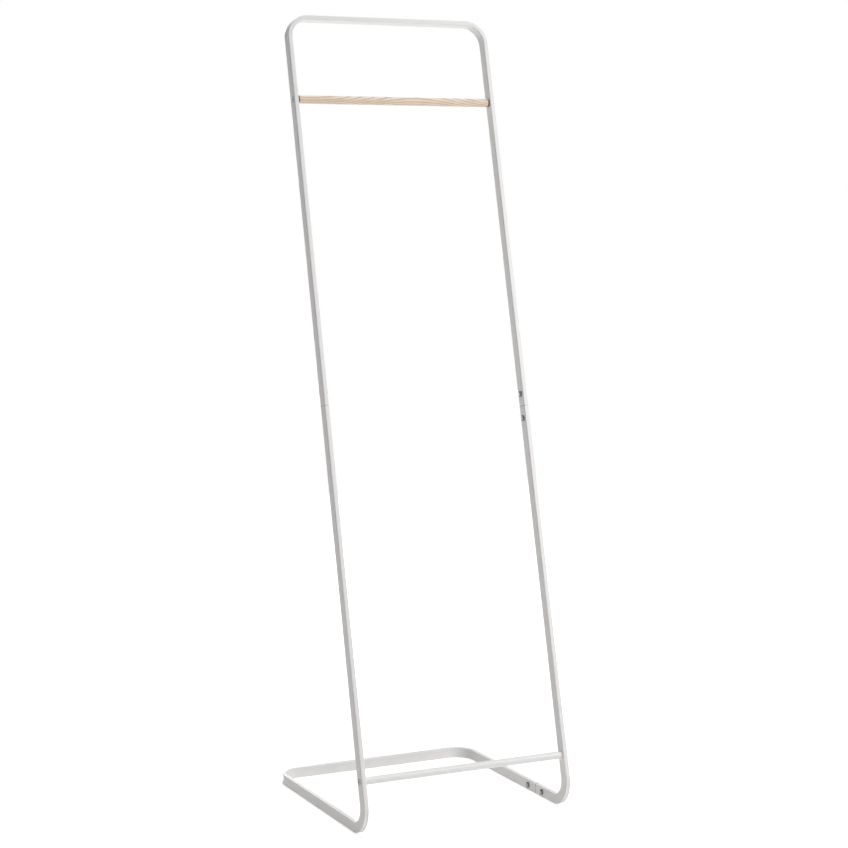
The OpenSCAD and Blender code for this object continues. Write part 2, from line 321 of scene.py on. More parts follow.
def bent_tube_tree() -> bpy.types.NodeTree:
    """Tree that sweeps a flat tube along a route with rounded corners.

    The route turns counterclockwise about the plane's normal. Where it bends,
    the outer wall is drawn in between two lands, and the inner wall a little.

    Returns:
        The tree.
    """
    tree = ShapeTree(
        "Bent flat tube",
        {
            "Plane normal": Kind.VECTOR,
            "Side width": Kind.FLOAT,
            "Radial width": Kind.FLOAT,
            "Corner radius": Kind.FLOAT,
            "Corner steps": Kind.INT,
            "Strip width": Kind.FLOAT,
            "Bend radius": Kind.FLOAT,
            "Bend steps": Kind.INT,
            "Outer dent": Kind.FLOAT,
            "Inner dent": Kind.FLOAT,
            "Dent land": Kind.FLOAT,
            "Dent share": Kind.FLOAT,
            "Dent power": Kind.FLOAT,
        },
    )
    given = tree.given
    across_power = 0.75

    route = tree.put("GeometryNodeMeshToCurve", {"Mesh": given["Seed"]})
    bent = tree.filleted(route, given["Bend radius"], given["Bend steps"])
    aimed = tree.put(
        "GeometryNodeSetCurveNormal", {"Curve": bent, "Normal": given["Plane normal"]}, mode="FREE"
    )
    index = tree.node("GeometryNodeSplineParameter").outputs["Index"]
    points_in_bend = tree.math("ADD", given["Bend steps"], 1)
    along = tree.math("MODULO", tree.math("SUBTRACT", index, 1), points_in_bend)
    share_along = tree.math("DIVIDE", along, given["Bend steps"])
    from_middle = tree.math("MULTIPLY_ADD", share_along, 2.0, -1.0)
    rise = tree.hump(tree.math("DIVIDE", from_middle, given["Dent share"]), given["Dent power"])
    outward = tree.vector(
        "CROSS_PRODUCT", tree.put("GeometryNodeInputTangent"), given["Plane normal"]
    )
    path, rise, outward = tree.captured(aimed, [("FLOAT", rise), ("VECTOR", outward)])[:3]

    sharp_ring = tree.put(
        "GeometryNodeCurvePrimitiveQuadrilateral",
        {"Width": given["Side width"], "Height": given["Radial width"]},
    )
    ring = tree.filleted(sharp_ring, given["Corner radius"], given["Corner steps"])
    position = tree.put("GeometryNodeInputPosition")
    next_point = tree.node("GeometryNodeOffsetPointInCurve", {"Offset": 1}).outputs["Point Index"]
    next_position = tree.put(
        "GeometryNodeFieldAtIndex",
        {"Index": next_point, "Value": position},
        data_type="FLOAT_VECTOR",
    )
    reach = tree.vector("DISTANCE", position, next_position)
    strips = tree.math("FLOOR", tree.math("DIVIDE", reach, given["Strip width"]))
    fine_ring = tree.put("GeometryNodeSubdivideCurve", {"Curve": ring, "Cuts": strips})
    section, place = tree.captured(fine_ring, [("VECTOR", position)])[:2]

    tube = tree.put("GeometryNodeCurveToMesh", {"Curve": path, "Profile Curve": section})
    side, radial = tree.split(place)[:2]
    dent_half = tree.math("SUBTRACT", tree.half(given["Side width"]), given["Dent land"])
    across = tree.hump(tree.math("DIVIDE", side, dent_half), across_power)
    is_outer = tree.put("FunctionNodeCompare", {"A": radial, "B": 0.0}, operation="GREATER_THAN")
    depth = tree.put(
        "GeometryNodeSwitch",
        {
            "Switch": is_outer,
            "False": given["Inner dent"],
            "True": tree.math("MULTIPLY", given["Outer dent"], -1.0),
        },
        input_type="FLOAT",
    )
    shift = tree.math("MULTIPLY", depth, tree.math("MULTIPLY", rise, across))
    return tree.dressed(tree.moved(tube, tree.scaled(outward, shift)))


def turned_tree() -> bpy.types.NodeTree:
    """Tree that turns a half outline round an axis, with a screw thread if it has one.

    The outline is drawn with X along the axis and Y as the radius. The axis
    then points along Axis from Foot. The thread fades out over its last turns
    at each end, and with no thread inputs there is none.

    Returns:
        The tree.
    """
    tree = ShapeTree(
        "Turned piece",
        {
            "Sides": Kind.INT,
            "Axis": Kind.VECTOR,
            "Foot": Kind.VECTOR,
            "Thread pitch": Kind.FLOAT,
            "Thread depth": Kind.FLOAT,
            "Thread start": Kind.FLOAT,
            "Thread end": Kind.FLOAT,
        },
    )
    given = tree.given
    hub = 1.0 * MM
    weld = 0.001 * MM
    fade_power = 0.25

    hub_ring = tree.put(
        "GeometryNodeCurvePrimitiveCircle", {"Resolution": given["Sides"], "Radius": hub}
    )
    upright = tree.put(
        "GeometryNodeSetCurveNormal", {"Curve": hub_ring, "Normal": UPWARD}, mode="FREE"
    )
    outline = tree.put("GeometryNodeMeshToCurve", {"Mesh": given["Seed"]})
    from_hub = tree.put(
        "GeometryNodeTransform", {"Geometry": outline, "Translation": (0.0, -hub, 0.0)}
    )
    spun = tree.put("GeometryNodeCurveToMesh", {"Curve": upright, "Profile Curve": from_hub})
    body = tree.put("GeometryNodeMergeByDistance", {"Geometry": spun, "Distance": weld})

    position = tree.put("GeometryNodeInputPosition")
    x, y, height = tree.split(position)[:3]
    turn = tree.math("DIVIDE", tree.math("ARCTAN2", y, x), 2 * math.pi)
    phase = tree.math("ADD", tree.math("DIVIDE", height, given["Thread pitch"]), turn)
    valley = tree.math("PINGPONG", phase, 0.5)
    middle = tree.half(tree.math("ADD", given["Thread start"], given["Thread end"]))
    half = tree.half(tree.math("SUBTRACT", given["Thread end"], given["Thread start"]))
    off_middle = tree.math("DIVIDE", tree.math("SUBTRACT", height, middle), half)
    threaded = tree.hump(off_middle, fade_power)
    depth = tree.math("MULTIPLY", given["Thread depth"], threaded)
    cut = tree.math("MULTIPLY", tree.math("MULTIPLY", valley, -2.0), depth)
    inward = tree.scaled(tree.vector("NORMALIZE", tree.joined(x, y, 0.0)), cut)
    grooved = tree.moved(body, inward)

    aim = tree.put("FunctionNodeAlignRotationToVector", {"Vector": given["Axis"]}, axis="Z")
    aimed = tree.put(
        "GeometryNodeTransform",
        {"Geometry": grooved, "Rotation": aim, "Translation": given["Foot"]},
    )
    return tree.dressed(aimed)


def cross_screw_tree() -> bpy.types.NodeTree:
    """Tree that cuts a cross recess in a screw and sets copies of it on seats.

    The screw's seat is the origin and its head is up. The seats lie in an even
    row, and each screw faces away from the stand's middle plane, or towards it
    where Outward is -1. Each is turned by chance about its own axis. The faces
    keep a painted shade that darkens the plate: on the dome, its ring, the wall
    and in the recess, for the shade on the wall and in the recess and for dark
    reflections on the ring.

    Returns:
        The tree.
    """
    tree = ShapeTree(
        "Cross-head screws on seats",
        {
            "Head height": Kind.FLOAT,
            "Dome radius": Kind.FLOAT,
            "Slot length": Kind.FLOAT,
            "Slot width": Kind.FLOAT,
            "Slot depth": Kind.FLOAT,
            "Slot taper": Kind.FLOAT,
            "Ring start": Kind.FLOAT,
            "Dome shade": Kind.FLOAT,
            "Ring shade": Kind.FLOAT,
            "Wall shade": Kind.FLOAT,
            "Recess shade": Kind.FLOAT,
            "First seat": Kind.VECTOR,
            "Last seat": Kind.VECTOR,
            "Seats": Kind.INT,
            "Outward": Kind.FLOAT,
            "Chance": Kind.INT,
        },
    )
    given = tree.given
    over_head = 0.5 * MM
    pit_share = 1.15
    pit_sides = 24
    recess_skin = 0.08 * MM
    recess_share = 0.52
    least_rise = 0.5

    tall = tree.math("ADD", given["Slot depth"], over_head)
    height = tree.math("SUBTRACT", given["Head height"], given["Slot depth"])
    centre = tree.joined(0.0, 0.0, tree.math("MULTIPLY_ADD", tall, 0.5, height))
    slots = []
    for size_x, size_y in (("Slot length", "Slot width"), ("Slot width", "Slot length")):
        size = tree.joined(given[size_x], given[size_y], tall)
        slots.append(tree.moved(tree.put("GeometryNodeMeshCube", {"Size": size}), centre))
    pit_radius = tree.math("MULTIPLY", given["Slot width"], pit_share)
    pit = tree.put(
        "GeometryNodeMeshCylinder", {"Vertices": pit_sides, "Radius": pit_radius, "Depth": tall}
    )
    slots.append(tree.moved(pit, centre))

    position = tree.put("GeometryNodeInputPosition")
    x, y, level = tree.split(position)[:3]
    below_top = tree.math("SUBTRACT", given["Head height"], level)
    depth_share = tree.math("DIVIDE", below_top, given["Slot depth"])
    narrowing = tree.math(
        "MULTIPLY_ADD", depth_share, tree.math("SUBTRACT", given["Slot taper"], 1.0), 1.0
    )
    tapered_place = tree.vector("MULTIPLY", position, tree.joined(narrowing, narrowing, 1.0))
    cutters = [
        tree.put("GeometryNodeSetPosition", {"Geometry": slot, "Position": tapered_place})
        for slot in slots
    ]
    screw = tree.put(
        "GeometryNodeMeshBoolean",
        {"Mesh 1": given["Seed"], "Mesh 2": cutters},
        operation="DIFFERENCE",
        solver="EXACT",
    )

    off_axis = tree.math("ADD", tree.square(x), tree.square(y))
    from_axis = tree.math("SQRT", off_axis)
    dome_radius = given["Dome radius"]
    rise = tree.math("SQRT", tree.math("SUBTRACT", tree.square(dome_radius), off_axis))
    drop = tree.math("SUBTRACT", dome_radius, rise)
    is_deep = tree.math("GREATER_THAN", tree.math("SUBTRACT", below_top, drop), recess_skin)
    recess_reach = tree.math("MULTIPLY", given["Slot length"], recess_share)
    is_central = tree.math("LESS_THAN", from_axis, recess_reach)
    is_ring = tree.math("GREATER_THAN", from_axis, given["Ring start"])
    facing_up = tree.split(tree.put("GeometryNodeInputNormal"))[2]
    is_top = tree.math("GREATER_THAN", facing_up, least_rise)
    # Painted shade by face: the ring for dark reflections, the wall and the recess for the shade that
    # falls on them
    top_shade = tree.mixed(is_ring, given["Dome shade"], given["Ring shade"])
    outer_shade = tree.mixed(is_top, given["Wall shade"], top_shade)
    is_recess = tree.math("MULTIPLY", is_deep, is_central)
    shade = tree.mixed(is_recess, outer_shade, given["Recess shade"])
    toned = tree.put(
        "GeometryNodeStoreNamedAttribute",
        {"Geometry": screw, "Name": PAINTED_SHADE, "Value": shade},
        data_type="FLOAT",
        domain="FACE",
    )

    row = tree.put(
        "GeometryNodeMeshLine",
        {
            "Count": given["Seats"],
            "Start Location": given["First seat"],
            "Offset": given["Last seat"],
        },
        mode="END_POINTS",
        count_mode="TOTAL",
    )
    side = tree.math("SIGN", tree.split(position)[0])
    facing = tree.joined(tree.math("MULTIPLY", side, given["Outward"]), 0.0, 0.0)
    aim = tree.put("FunctionNodeAlignRotationToVector", {"Vector": facing}, axis="Z")
    turn = tree.put(
        "FunctionNodeRandomValue",
        {2: 0.0, 3: math.pi / 2, "Seed": given["Chance"]},
        data_type="FLOAT",
    )
    spin = tree.put("FunctionNodeAxisAngleToRotation", {"Axis": UPWARD, "Angle": turn})
    rotation = tree.put(
        "FunctionNodeRotateRotation", {"Rotation": aim, "Rotate By": spin}, rotation_space="LOCAL"
    )
    screws = tree.put(
        "GeometryNodeInstanceOnPoints",
        {"Points": row, "Instance": toned, "Rotation": rotation},
    )
    return tree.dressed(screws)


def added(name: str, data: bpy.types.ID) -> bpy.types.Object:
    """Adds an object with its data to the scene.

    Args:
        name: name of the object.
        data: its mesh, light or camera.

    Returns:
        The object.
    """
    thing = bpy.data.objects.new(name, data)
    bpy.context.scene.collection.objects.link(thing)
    return thing


def chain(name: str, points: Sequence[Sequence[float]], closed: bool = False) -> bpy.types.Object:
    """Makes an object whose mesh is a chain of edges.

    Args:
        name: name of the object.
        points: the chain's corners in order.
        closed: whether the last corner joins the first.

    Returns:
        The object, linked to the scene.
    """
    mesh = bpy.data.meshes.new(name)
    count = len(points)
    edges = [(i, (i + 1) % count) for i in range(count if closed else count - 1)]
    mesh.from_pydata([tuple(p) for p in points], edges, [])
    return added(name, mesh)


def apply_tree(piece: bpy.types.Object, tree: bpy.types.NodeTree, values: Mapping[str, object]) -> None:
    """Puts a Geometry Nodes modifier on a piece and sets its inputs by their identifiers.

    Args:
        piece: the object that gets the modifier.
        tree: the node tree.
        values: value of each named input.
    """
    modifier = piece.modifiers.new(tree.name, "NODES")
    modifier.node_group = tree
    names = {i.name: i.identifier for i in tree.interface.items_tree if i.in_out == "INPUT"}
    for name, value in values.items():
        modifier[names[name]] = tuple(value) if isinstance(value, Vector) else value


def evaluate(piece: bpy.types.Object) -> None:
    """Turns a piece's modifiers into its plain mesh.

    Args:
        piece: the object with its modifiers.
    """
    bpy.context.view_layer.update()
    graph = bpy.context.evaluated_depsgraph_get()
    mesh = bpy.data.meshes.new_from_object(piece.evaluated_get(graph), depsgraph=graph)
    piece.modifiers.clear()
    seed_mesh = piece.data
    piece.data = mesh
    bpy.data.meshes.remove(seed_mesh)
    mesh.name = piece.name


def settle(piece: bpy.types.Object, sharp: float = math.radians(38)) -> bpy.types.Object:
    """Makes a piece a plain mesh that shades smoothly between its sharp edges.

    Args:
        piece: the object with its modifiers.
        sharp: least angle between two faces at which their edge shows sharp.

    Returns:
        The same object, with no modifiers.
    """
    evaluate(piece)
    piece.data.set_sharp_from_angle(angle=sharp)
    shading = piece.modifiers.new("even shading", "WEIGHTED_NORMAL")
    shading.mode = "FACE_AREA"
    shading.keep_sharp = True
    evaluate(piece)
    return piece


def stands_for(piece: bpy.types.Object, slot: Slot, *nodes: str) -> bpy.types.Object:
    """Hands a finished piece to the frame.

    Args:
        piece: the finished piece.
        slot: the record's slot for its finish; not used.
        nodes: names of the nodes that it stands for.

    Returns:
        The same object.
    """
    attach(piece, BODY)
    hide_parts(*nodes)
    log.info("%s: %d faces for %s", piece.name, len(piece.data.polygons), ", ".join(nodes))
    return piece


def mottle_group() -> bpy.types.NodeTree:
    """Shader group for slow unevenness: a mask of soft patches around one half.

    Returns:
        The tree.
    """
    group = NamedTree(
        "Soft mottle",
        "ShaderNodeTree",
        {
            "Vector": Kind.VECTOR,
            "Patch size": Kind.FLOAT,
            "Contrast": Kind.FLOAT,
            "Variant": Kind.FLOAT,
        },
        {"Mask": Kind.FLOAT},
    )
    given = group.given
    scale = group.math("DIVIDE", 1.0, given["Patch size"])
    noise = group.put(
        "ShaderNodeTexNoise",
        {"Vector": given["Vector"], "W": given["Variant"], "Scale": scale, "Detail": 4.0},
        noise_dimensions="4D",
    )
    off_half = group.math("SUBTRACT", noise, 0.5)
    mask = group.math("MULTIPLY_ADD", off_half, given["Contrast"], 0.5)
    return group.finish({"Mask": group.math("MINIMUM", group.math("MAXIMUM", mask, 0.0), 1.0)})


def texture_group() -> bpy.types.NodeTree:
    """Shader group for a fine surface: height of soft cells with finer grit on them.

    Returns:
        The tree.
    """
    group = NamedTree(
        "Fine surface",
        "ShaderNodeTree",
        {"Vector": Kind.VECTOR, "Cell size": Kind.FLOAT, "Grit": Kind.FLOAT, "Variant": Kind.FLOAT},
        {"Height": Kind.FLOAT},
    )
    given = group.given
    scale = group.math("DIVIDE", 1.0, given["Cell size"])
    cell_scale, grit_scale = 1.0, 5.0
    heights = [
        group.put(
            "ShaderNodeTexNoise",
            {
                "Vector": given["Vector"],
                "W": given["Variant"],
                "Scale": group.math("MULTIPLY", scale, finer),
                "Detail": 1.0,
            },
            noise_dimensions="4D",
        )
        for finer in (cell_scale, grit_scale)
    ]
    return group.finish({"Height": group.math("MULTIPLY_ADD", heights[1], given["Grit"], heights[0])})


class Workshop:
    """Node trees and shader groups that several pieces or finishes share."""

    def __init__(self) -> None:
        """Builds each tree once."""
        self.bent_tube = bent_tube_tree()
        self.lathe = turned_tree()
        self.cross_screws = cross_screw_tree()
        self.mottle = mottle_group()
        self.texture = texture_group()

    def turned(
        self, name: str, outline: Outline, values: Mapping[str, object], closed: bool = False
    ) -> bpy.types.Object:
        """Turns an outline into a round piece.

        Args:
            name: name of the piece.
            outline: points as (place along the axis, radius).
            values: value of each input of the tree.
            closed: whether the outline closes on itself.

        Returns:
            The piece, its modifier still live.
        """
        piece = chain(name, [(*point, 0.0) for point in outline], closed)
        apply_tree(piece, self.lathe, values)
        return piece


class FinishLayout(Layout):
    """Nodes of one material round its Principled BSDF."""

    def __init__(self, name: str, shop: Workshop) -> None:
        """Makes the material with a bare shader.

        Args:
            name: name of the material.
            shop: holder of the shared groups.
        """
        self.material = bpy.data.materials.new(name)
        self.material.use_nodes = True
        super().__init__(self.material.node_tree)
        self.shop = shop
        self.shader = self.tree.nodes["Principled BSDF"]
        self.place = self.node("ShaderNodeTexCoord").outputs["Object"]

    def patches(self, size: float, contrast: float, variant: float) -> bpy.types.NodeSocket:
        """Mask of soft patches of a size."""
        inputs = {"Vector": self.place, "Patch size": size, "Contrast": contrast, "Variant": variant}
        return self.put("ShaderNodeGroup", inputs, node_tree=self.shop.mottle)

    def surface(self, cell: float, grit: float, variant: float) -> bpy.types.NodeSocket:
        """Height of a fine surface of a cell size."""
        inputs = {"Vector": self.place, "Cell size": cell, "Grit": grit, "Variant": variant}
        return self.put("ShaderNodeGroup", inputs, node_tree=self.shop.texture)

    def blend(self, mask: Plug, low: Plug, high: Plug) -> bpy.types.NodeSocket:
        """Mixes two colours by a mask.

        Args:
            mask: share of the second colour.
            low: first colour, as an output socket or as red, green and blue.
            high: second colour, as one or the other.

        Returns:
            The mixed colour.
        """
        first, second = (
            colour if isinstance(colour, bpy.types.NodeSocket) else (*colour, 1.0)
            for colour in (low, high)
        )
        return self.put("ShaderNodeMix", {0: mask, 6: first, 7: second}, data_type="RGBA")

    def darkened(self, colour: Plug, share: float) -> bpy.types.NodeSocket:
        """Takes a colour down to a share of itself where the piece's painted shade attribute is 1."""
        kept = self.node("ShaderNodeAttribute", attribute_name=PAINTED_SHADE).outputs["Fac"]
        return self.scaled(colour, self.ranged(kept, 1.0, share))

    def raised(self, height: Plug, depth: float) -> None:
        """Gives the shader a bump of a height map and a depth in metres."""
        self.fill(
            Normal=self.put("ShaderNodeBump", {"Height": height, "Distance": depth, "Strength": 1.0})
        )

    def fill(self, **plugs: Plug) -> None:
        """Sets or links the shader's inputs, spelled with underscores for spaces."""
        for name, value in plugs.items():
            self.plug(self.shader.inputs[name.replace("_", " ")], value)


@dataclass(frozen=True)
class Finish(ABC):
    """One finish of the stand.

    Args:
        shop: holder of the shared groups.
    """

    shop: Workshop

    @abstractmethod
    def material(self) -> bpy.types.Material:
        """Builds the finish's material."""


@dataclass(frozen=True)
class PatchyFinish(Finish):
    """Finish of soft patches in two colours, with a fine surface.

    Args:
        name: name of the material.
        light: the lighter colour.
        shade: the darker colour.
        patch: size of the patches.
        contrast: how sharply the patches part.
        gloss_range: roughness in the darker and in the lighter patches.
        cell: size of the cells of the surface.
        grit: share of finer grit on the cells.
        depth: depth of the surface.
        variant: which of many like patterns the patches take, the surface taking the next.
    """

    name: str
    light: Colour
    shade: Colour
    patch: float
    contrast: float
    gloss_range: tuple[float, float]
    cell: float
    grit: float
    depth: float
    variant: float

    def material(self) -> bpy.types.Material:
        """Builds the finish's material.

        Returns:
            The material.
        """
        layout = FinishLayout(self.name, self.shop)
        patches = layout.patches(self.patch, self.contrast, self.variant)
        layout.fill(Roughness=layout.ranged(patches, *self.gloss_range))
        layout.raised(layout.surface(self.cell, self.grit, self.variant + 1), self.depth)
        self.colour(layout, layout.blend(patches, self.shade, self.light))
        return layout.material

    @abstractmethod
    def colour(self, layout: FinishLayout, patchy: bpy.types.NodeSocket) -> None:
        """Gives the shader its colour, and says whether it is metal.

        Args:
            layout: the material's nodes.
            patchy: the two colours in their patches.
        """


@dataclass(frozen=True)
class PowderCoat(PatchyFinish):
    """White powder coat, satin, with a faint orange peel, and with painted shade on the sawn ends of a
    tube, so that its open seams read dark.

    Args:
        end_share: share of its colour that the painted shade leaves on the sawn ends.
        ior: refraction of the coat.
    """

    name: str = "white powder coat"
    light: Colour = (0.86, 0.86, 0.855)
    shade: Colour = (0.83, 0.83, 0.823)
    patch: float = 26 * MM
    contrast: float = 2.2
    gloss_range: tuple[float, float] = (0.36, 0.46)
    cell: float = 1.6 * MM
    grit: float = 0.12
    depth: float = 0.012 * MM
    variant: float = 0.0
    end_share: float = 0.08
    ior: float = 1.5

    def colour(self, layout: FinishLayout, patchy: bpy.types.NodeSocket) -> None:
        """Gives the coat its colour, darkened on the sawn ends by painted shade."""
        layout.fill(Base_Color=layout.darkened(patchy, self.end_share), IOR=self.ior)


@dataclass(frozen=True)
class ZincPlate(PatchyFinish):
    """Bright zinc plate of the screws and inserts, darkened by the painted shade that a piece stores.

    Args:
        painted_shade_share: share of its colour that the fullest painted shade leaves.
    """

    name: str = "bright zinc plate"
    light: Colour = (0.58, 0.59, 0.60)
    shade: Colour = (0.46, 0.465, 0.475)
    patch: float = 2.5 * MM
    contrast: float = 2.6
    gloss_range: tuple[float, float] = (0.15, 0.26)
    cell: float = 0.25 * MM
    grit: float = 0.3
    depth: float = 0.003 * MM
    variant: float = 2.0
    painted_shade_share: float = 0.12

    def colour(self, layout: FinishLayout, patchy: bpy.types.NodeSocket) -> None:
        """Darkens the plate by the piece's painted shade, also in the glint that metal shows at its
        edges.
        """
        shaded_plate = layout.darkened(patchy, self.painted_shade_share)
        layout.fill(Base_Color=shaded_plate, Specular_Tint=shaded_plate, Metallic=1.0)


@dataclass(frozen=True)
class SeamShadeSteel(PatchyFinish):
    """Drawn steel of the bars and plugs inside the tubes, far darker than bare steel as painted shade,
    so that the seams show dark.
    """

    name: str = "drawn steel in painted seam shade"
    # Painted shade: these colours sit far below bare steel so the connectors seen through the seams read
    # as shadow
    light: Colour = (0.12, 0.12, 0.125)
    shade: Colour = (0.06, 0.06, 0.065)
    patch: float = 7 * MM
    contrast: float = 3.0
    gloss_range: tuple[float, float] = (0.34, 0.55)
    cell: float = 0.5 * MM
    grit: float = 0.5
    depth: float = 0.012 * MM
    variant: float = 4.0

    def colour(self, layout: FinishLayout, patchy: bpy.types.NodeSocket) -> None:
        """Leaves the steel bare."""
        layout.fill(Base_Color=patchy, Metallic=1.0)


@dataclass(frozen=True)
class PaleWood(Finish):
    """Pale ash under a matt clear finish, its grain along X.

    The growth rings lie nearly flat in the rail and rise towards its middle,
    so that they run out on its surface in long slanting strokes and arches.

    Args:
        middle: where the rail's axis lies, as Y and Z.
        half_length: half the rail's length.
        pale: colour of the early wood.
        late: colour of the late wood, the dark line at the end of a ring.
        end_grain_and_shade: colour of the end grain, taken near black as painted shade for the shadowed
            crevice where the rail's rounded end meets a post.
        end_depth: how far the dark end grain and its painted shade reach from the rail's ends.
        end_fade: length over which it fades out.
        ring: thickness of a growth ring.
        line_power: how late in a ring the dark line sets in.
        pith: middle of the rings from the rail's axis, as Y and Z.
        arch_rise: how far the rings rise above their mean height and fall below it.
        arch_length: length of one rise and fall along the rail.
        arch_place: middle of a rise.
        wander: height of the rings' slow wandering.
        wander_length: length of it.
        ripple: height of their quicker ripple.
        ripple_length: length of it across the rail.
        ripple_stretch: how many times longer it is along the rail.
        fibre: width of the fibres.
        fibre_stretch: how many times longer they are along the rail.
        streak: share of the fibres in the colour.
        pore_depth: depth of the pores.
        patch: size of the soft patches.
        contrast: how sharply the patches part.
        patch_share: share of the patches in the colour.
        gloss_range: roughness between the fibres and on them.
        ior: refraction of the clear finish.
        variant: which of many like patterns the patches take.
    """

    middle: tuple[float, float]
    half_length: float
    pale: Colour = (0.88, 0.76, 0.63)
    late: Colour = (0.53, 0.37, 0.245)
    end_grain_and_shade: Colour = (0.07, 0.045, 0.03)
    end_depth: float = 3.6 * MM
    end_fade: float = 0.8 * MM
    ring: float = 5.0 * MM
    line_power: float = 2.5
    pith: tuple[float, float] = (14 * MM, -58 * MM)
    arch_rise: float = 14 * MM
    arch_length: float = 460 * MM
    arch_place: float = 45 * MM
    wander: float = 7 * MM
    wander_length: float = 140 * MM
    ripple: float = 1.2 * MM
    ripple_length: float = 10 * MM
    ripple_stretch: float = 10.0
    fibre: float = 0.7 * MM
    fibre_stretch: float = 60.0
    streak: float = 0.5
    pore_depth: float = 0.03 * MM
    patch: float = 30 * MM
    contrast: float = 2.0
    patch_share: float = 0.3
    gloss_range: tuple[float, float] = (0.60, 0.42)
    ior: float = 1.45
    variant: float = 6.0

    def noise(self, wood: FinishLayout, place: Plug, size: float, detail: float) -> bpy.types.NodeSocket:
        """Noise between zero and one, of a patch size."""
        inputs = {"Vector": place, "Scale": 1.0 / size, "Detail": detail}
        return wood.put("ShaderNodeTexNoise", inputs)

    def around_zero(self, wood: FinishLayout, mask: Plug, reach: float) -> bpy.types.NodeSocket:
        """A mask around one half as a number around zero, of a reach."""
        return wood.math("MULTIPLY", wood.math("SUBTRACT", mask, 0.5), reach)

    def drift(self, wood: FinishLayout, place: Plug, size: float, reach: float) -> bpy.types.NodeSocket:
        """Uneven height of the rings, of a patch size and a reach."""
        return self.around_zero(wood, self.noise(wood, place, size, detail=2.0), reach)

    def stretched(self, wood: FinishLayout, place: Plug, times: float) -> bpy.types.NodeSocket:
        """A place whose pattern comes out longer along the rail."""
        return wood.vector("MULTIPLY", place, (1.0 / times, 1.0, 1.0))

    def rings(self, wood: FinishLayout) -> bpy.types.NodeSocket:
        """Lays the growth rings.

        Args:
            wood: the material's nodes.

        Returns:
            A mask: 0 in pale wood, rising to 1 in the dark line at a ring's end.
        """
        place = wood.put(
            "ShaderNodeMapping",
            {"Vector": wood.place, "Location": (0.0, -self.middle[0], -self.middle[1])},
        )
        along, across, up = wood.split(place)[:3]
        from_arch = wood.math("SUBTRACT", along, self.arch_place)
        turn = wood.math("MULTIPLY", from_arch, math.tau / self.arch_length)
        arch = wood.math("MULTIPLY", wood.math("COSINE", turn), self.arch_rise)
        line = wood.joined(along, 0.0, 0.0)
        wandering = self.drift(wood, line, self.wander_length, self.wander)
        ripple_place = self.stretched(wood, place, self.ripple_stretch)
        ripple = self.drift(wood, ripple_place, self.ripple_length, self.ripple)
        lift = wood.math("ADD", wood.math("ADD", arch, wandering), ripple)
        from_pith = wood.joined(
            0.0,
            wood.math("SUBTRACT", across, self.pith[0]),
            wood.math("SUBTRACT", wood.math("SUBTRACT", up, self.pith[1]), lift),
        )
        rings = wood.math("DIVIDE", wood.vector("LENGTH", from_pith), self.ring)
        return wood.math("POWER", wood.math("FRACT", rings), self.line_power)

    def fibres(self, wood: FinishLayout) -> bpy.types.NodeSocket:
        """Mask of fine streaks along the rail."""
        place = self.stretched(wood, wood.place, self.fibre_stretch)
        return self.noise(wood, place, self.fibre, detail=3.0)

    def ends(self, wood: FinishLayout) -> bpy.types.NodeSocket:
        """Marks the end grain and the painted shade of the crevice at each end.

        Args:
            wood: the material's nodes.

        Returns:
            A mask: 1 at the ends, fading to 0 at the end depth.
        """
        along = wood.math("ABSOLUTE", wood.split(wood.place)[0])
        start = self.half_length - self.end_depth
        return wood.ranged(along, 0.0, 1.0, start, start + self.end_fade)

    def material(self) -> bpy.types.Material:
        """Builds the finish's material.

        Returns:
            The material.
        """
        wood = FinishLayout("pale ash", self.shop)
        fibres = self.fibres(wood)
        tone = wood.math("ADD", self.rings(wood), self.around_zero(wood, fibres, self.streak))
        patches = wood.patches(self.patch, self.contrast, self.variant)
        tone = wood.math("ADD", tone, self.around_zero(wood, patches, self.patch_share))
        side_grain = wood.blend(wood.put("ShaderNodeClamp", {"Value": tone}), self.pale, self.late)
        wood.fill(
            # Painted shade: the ends go nearly black for the crevice shadow against each post, on top of
            # real end grain
            Base_Color=wood.blend(self.ends(wood), side_grain, self.end_grain_and_shade),
            Roughness=wood.ranged(fibres, *self.gloss_range),
            IOR=self.ior,
        )
        wood.raised(fibres, self.pore_depth)
        return wood.material


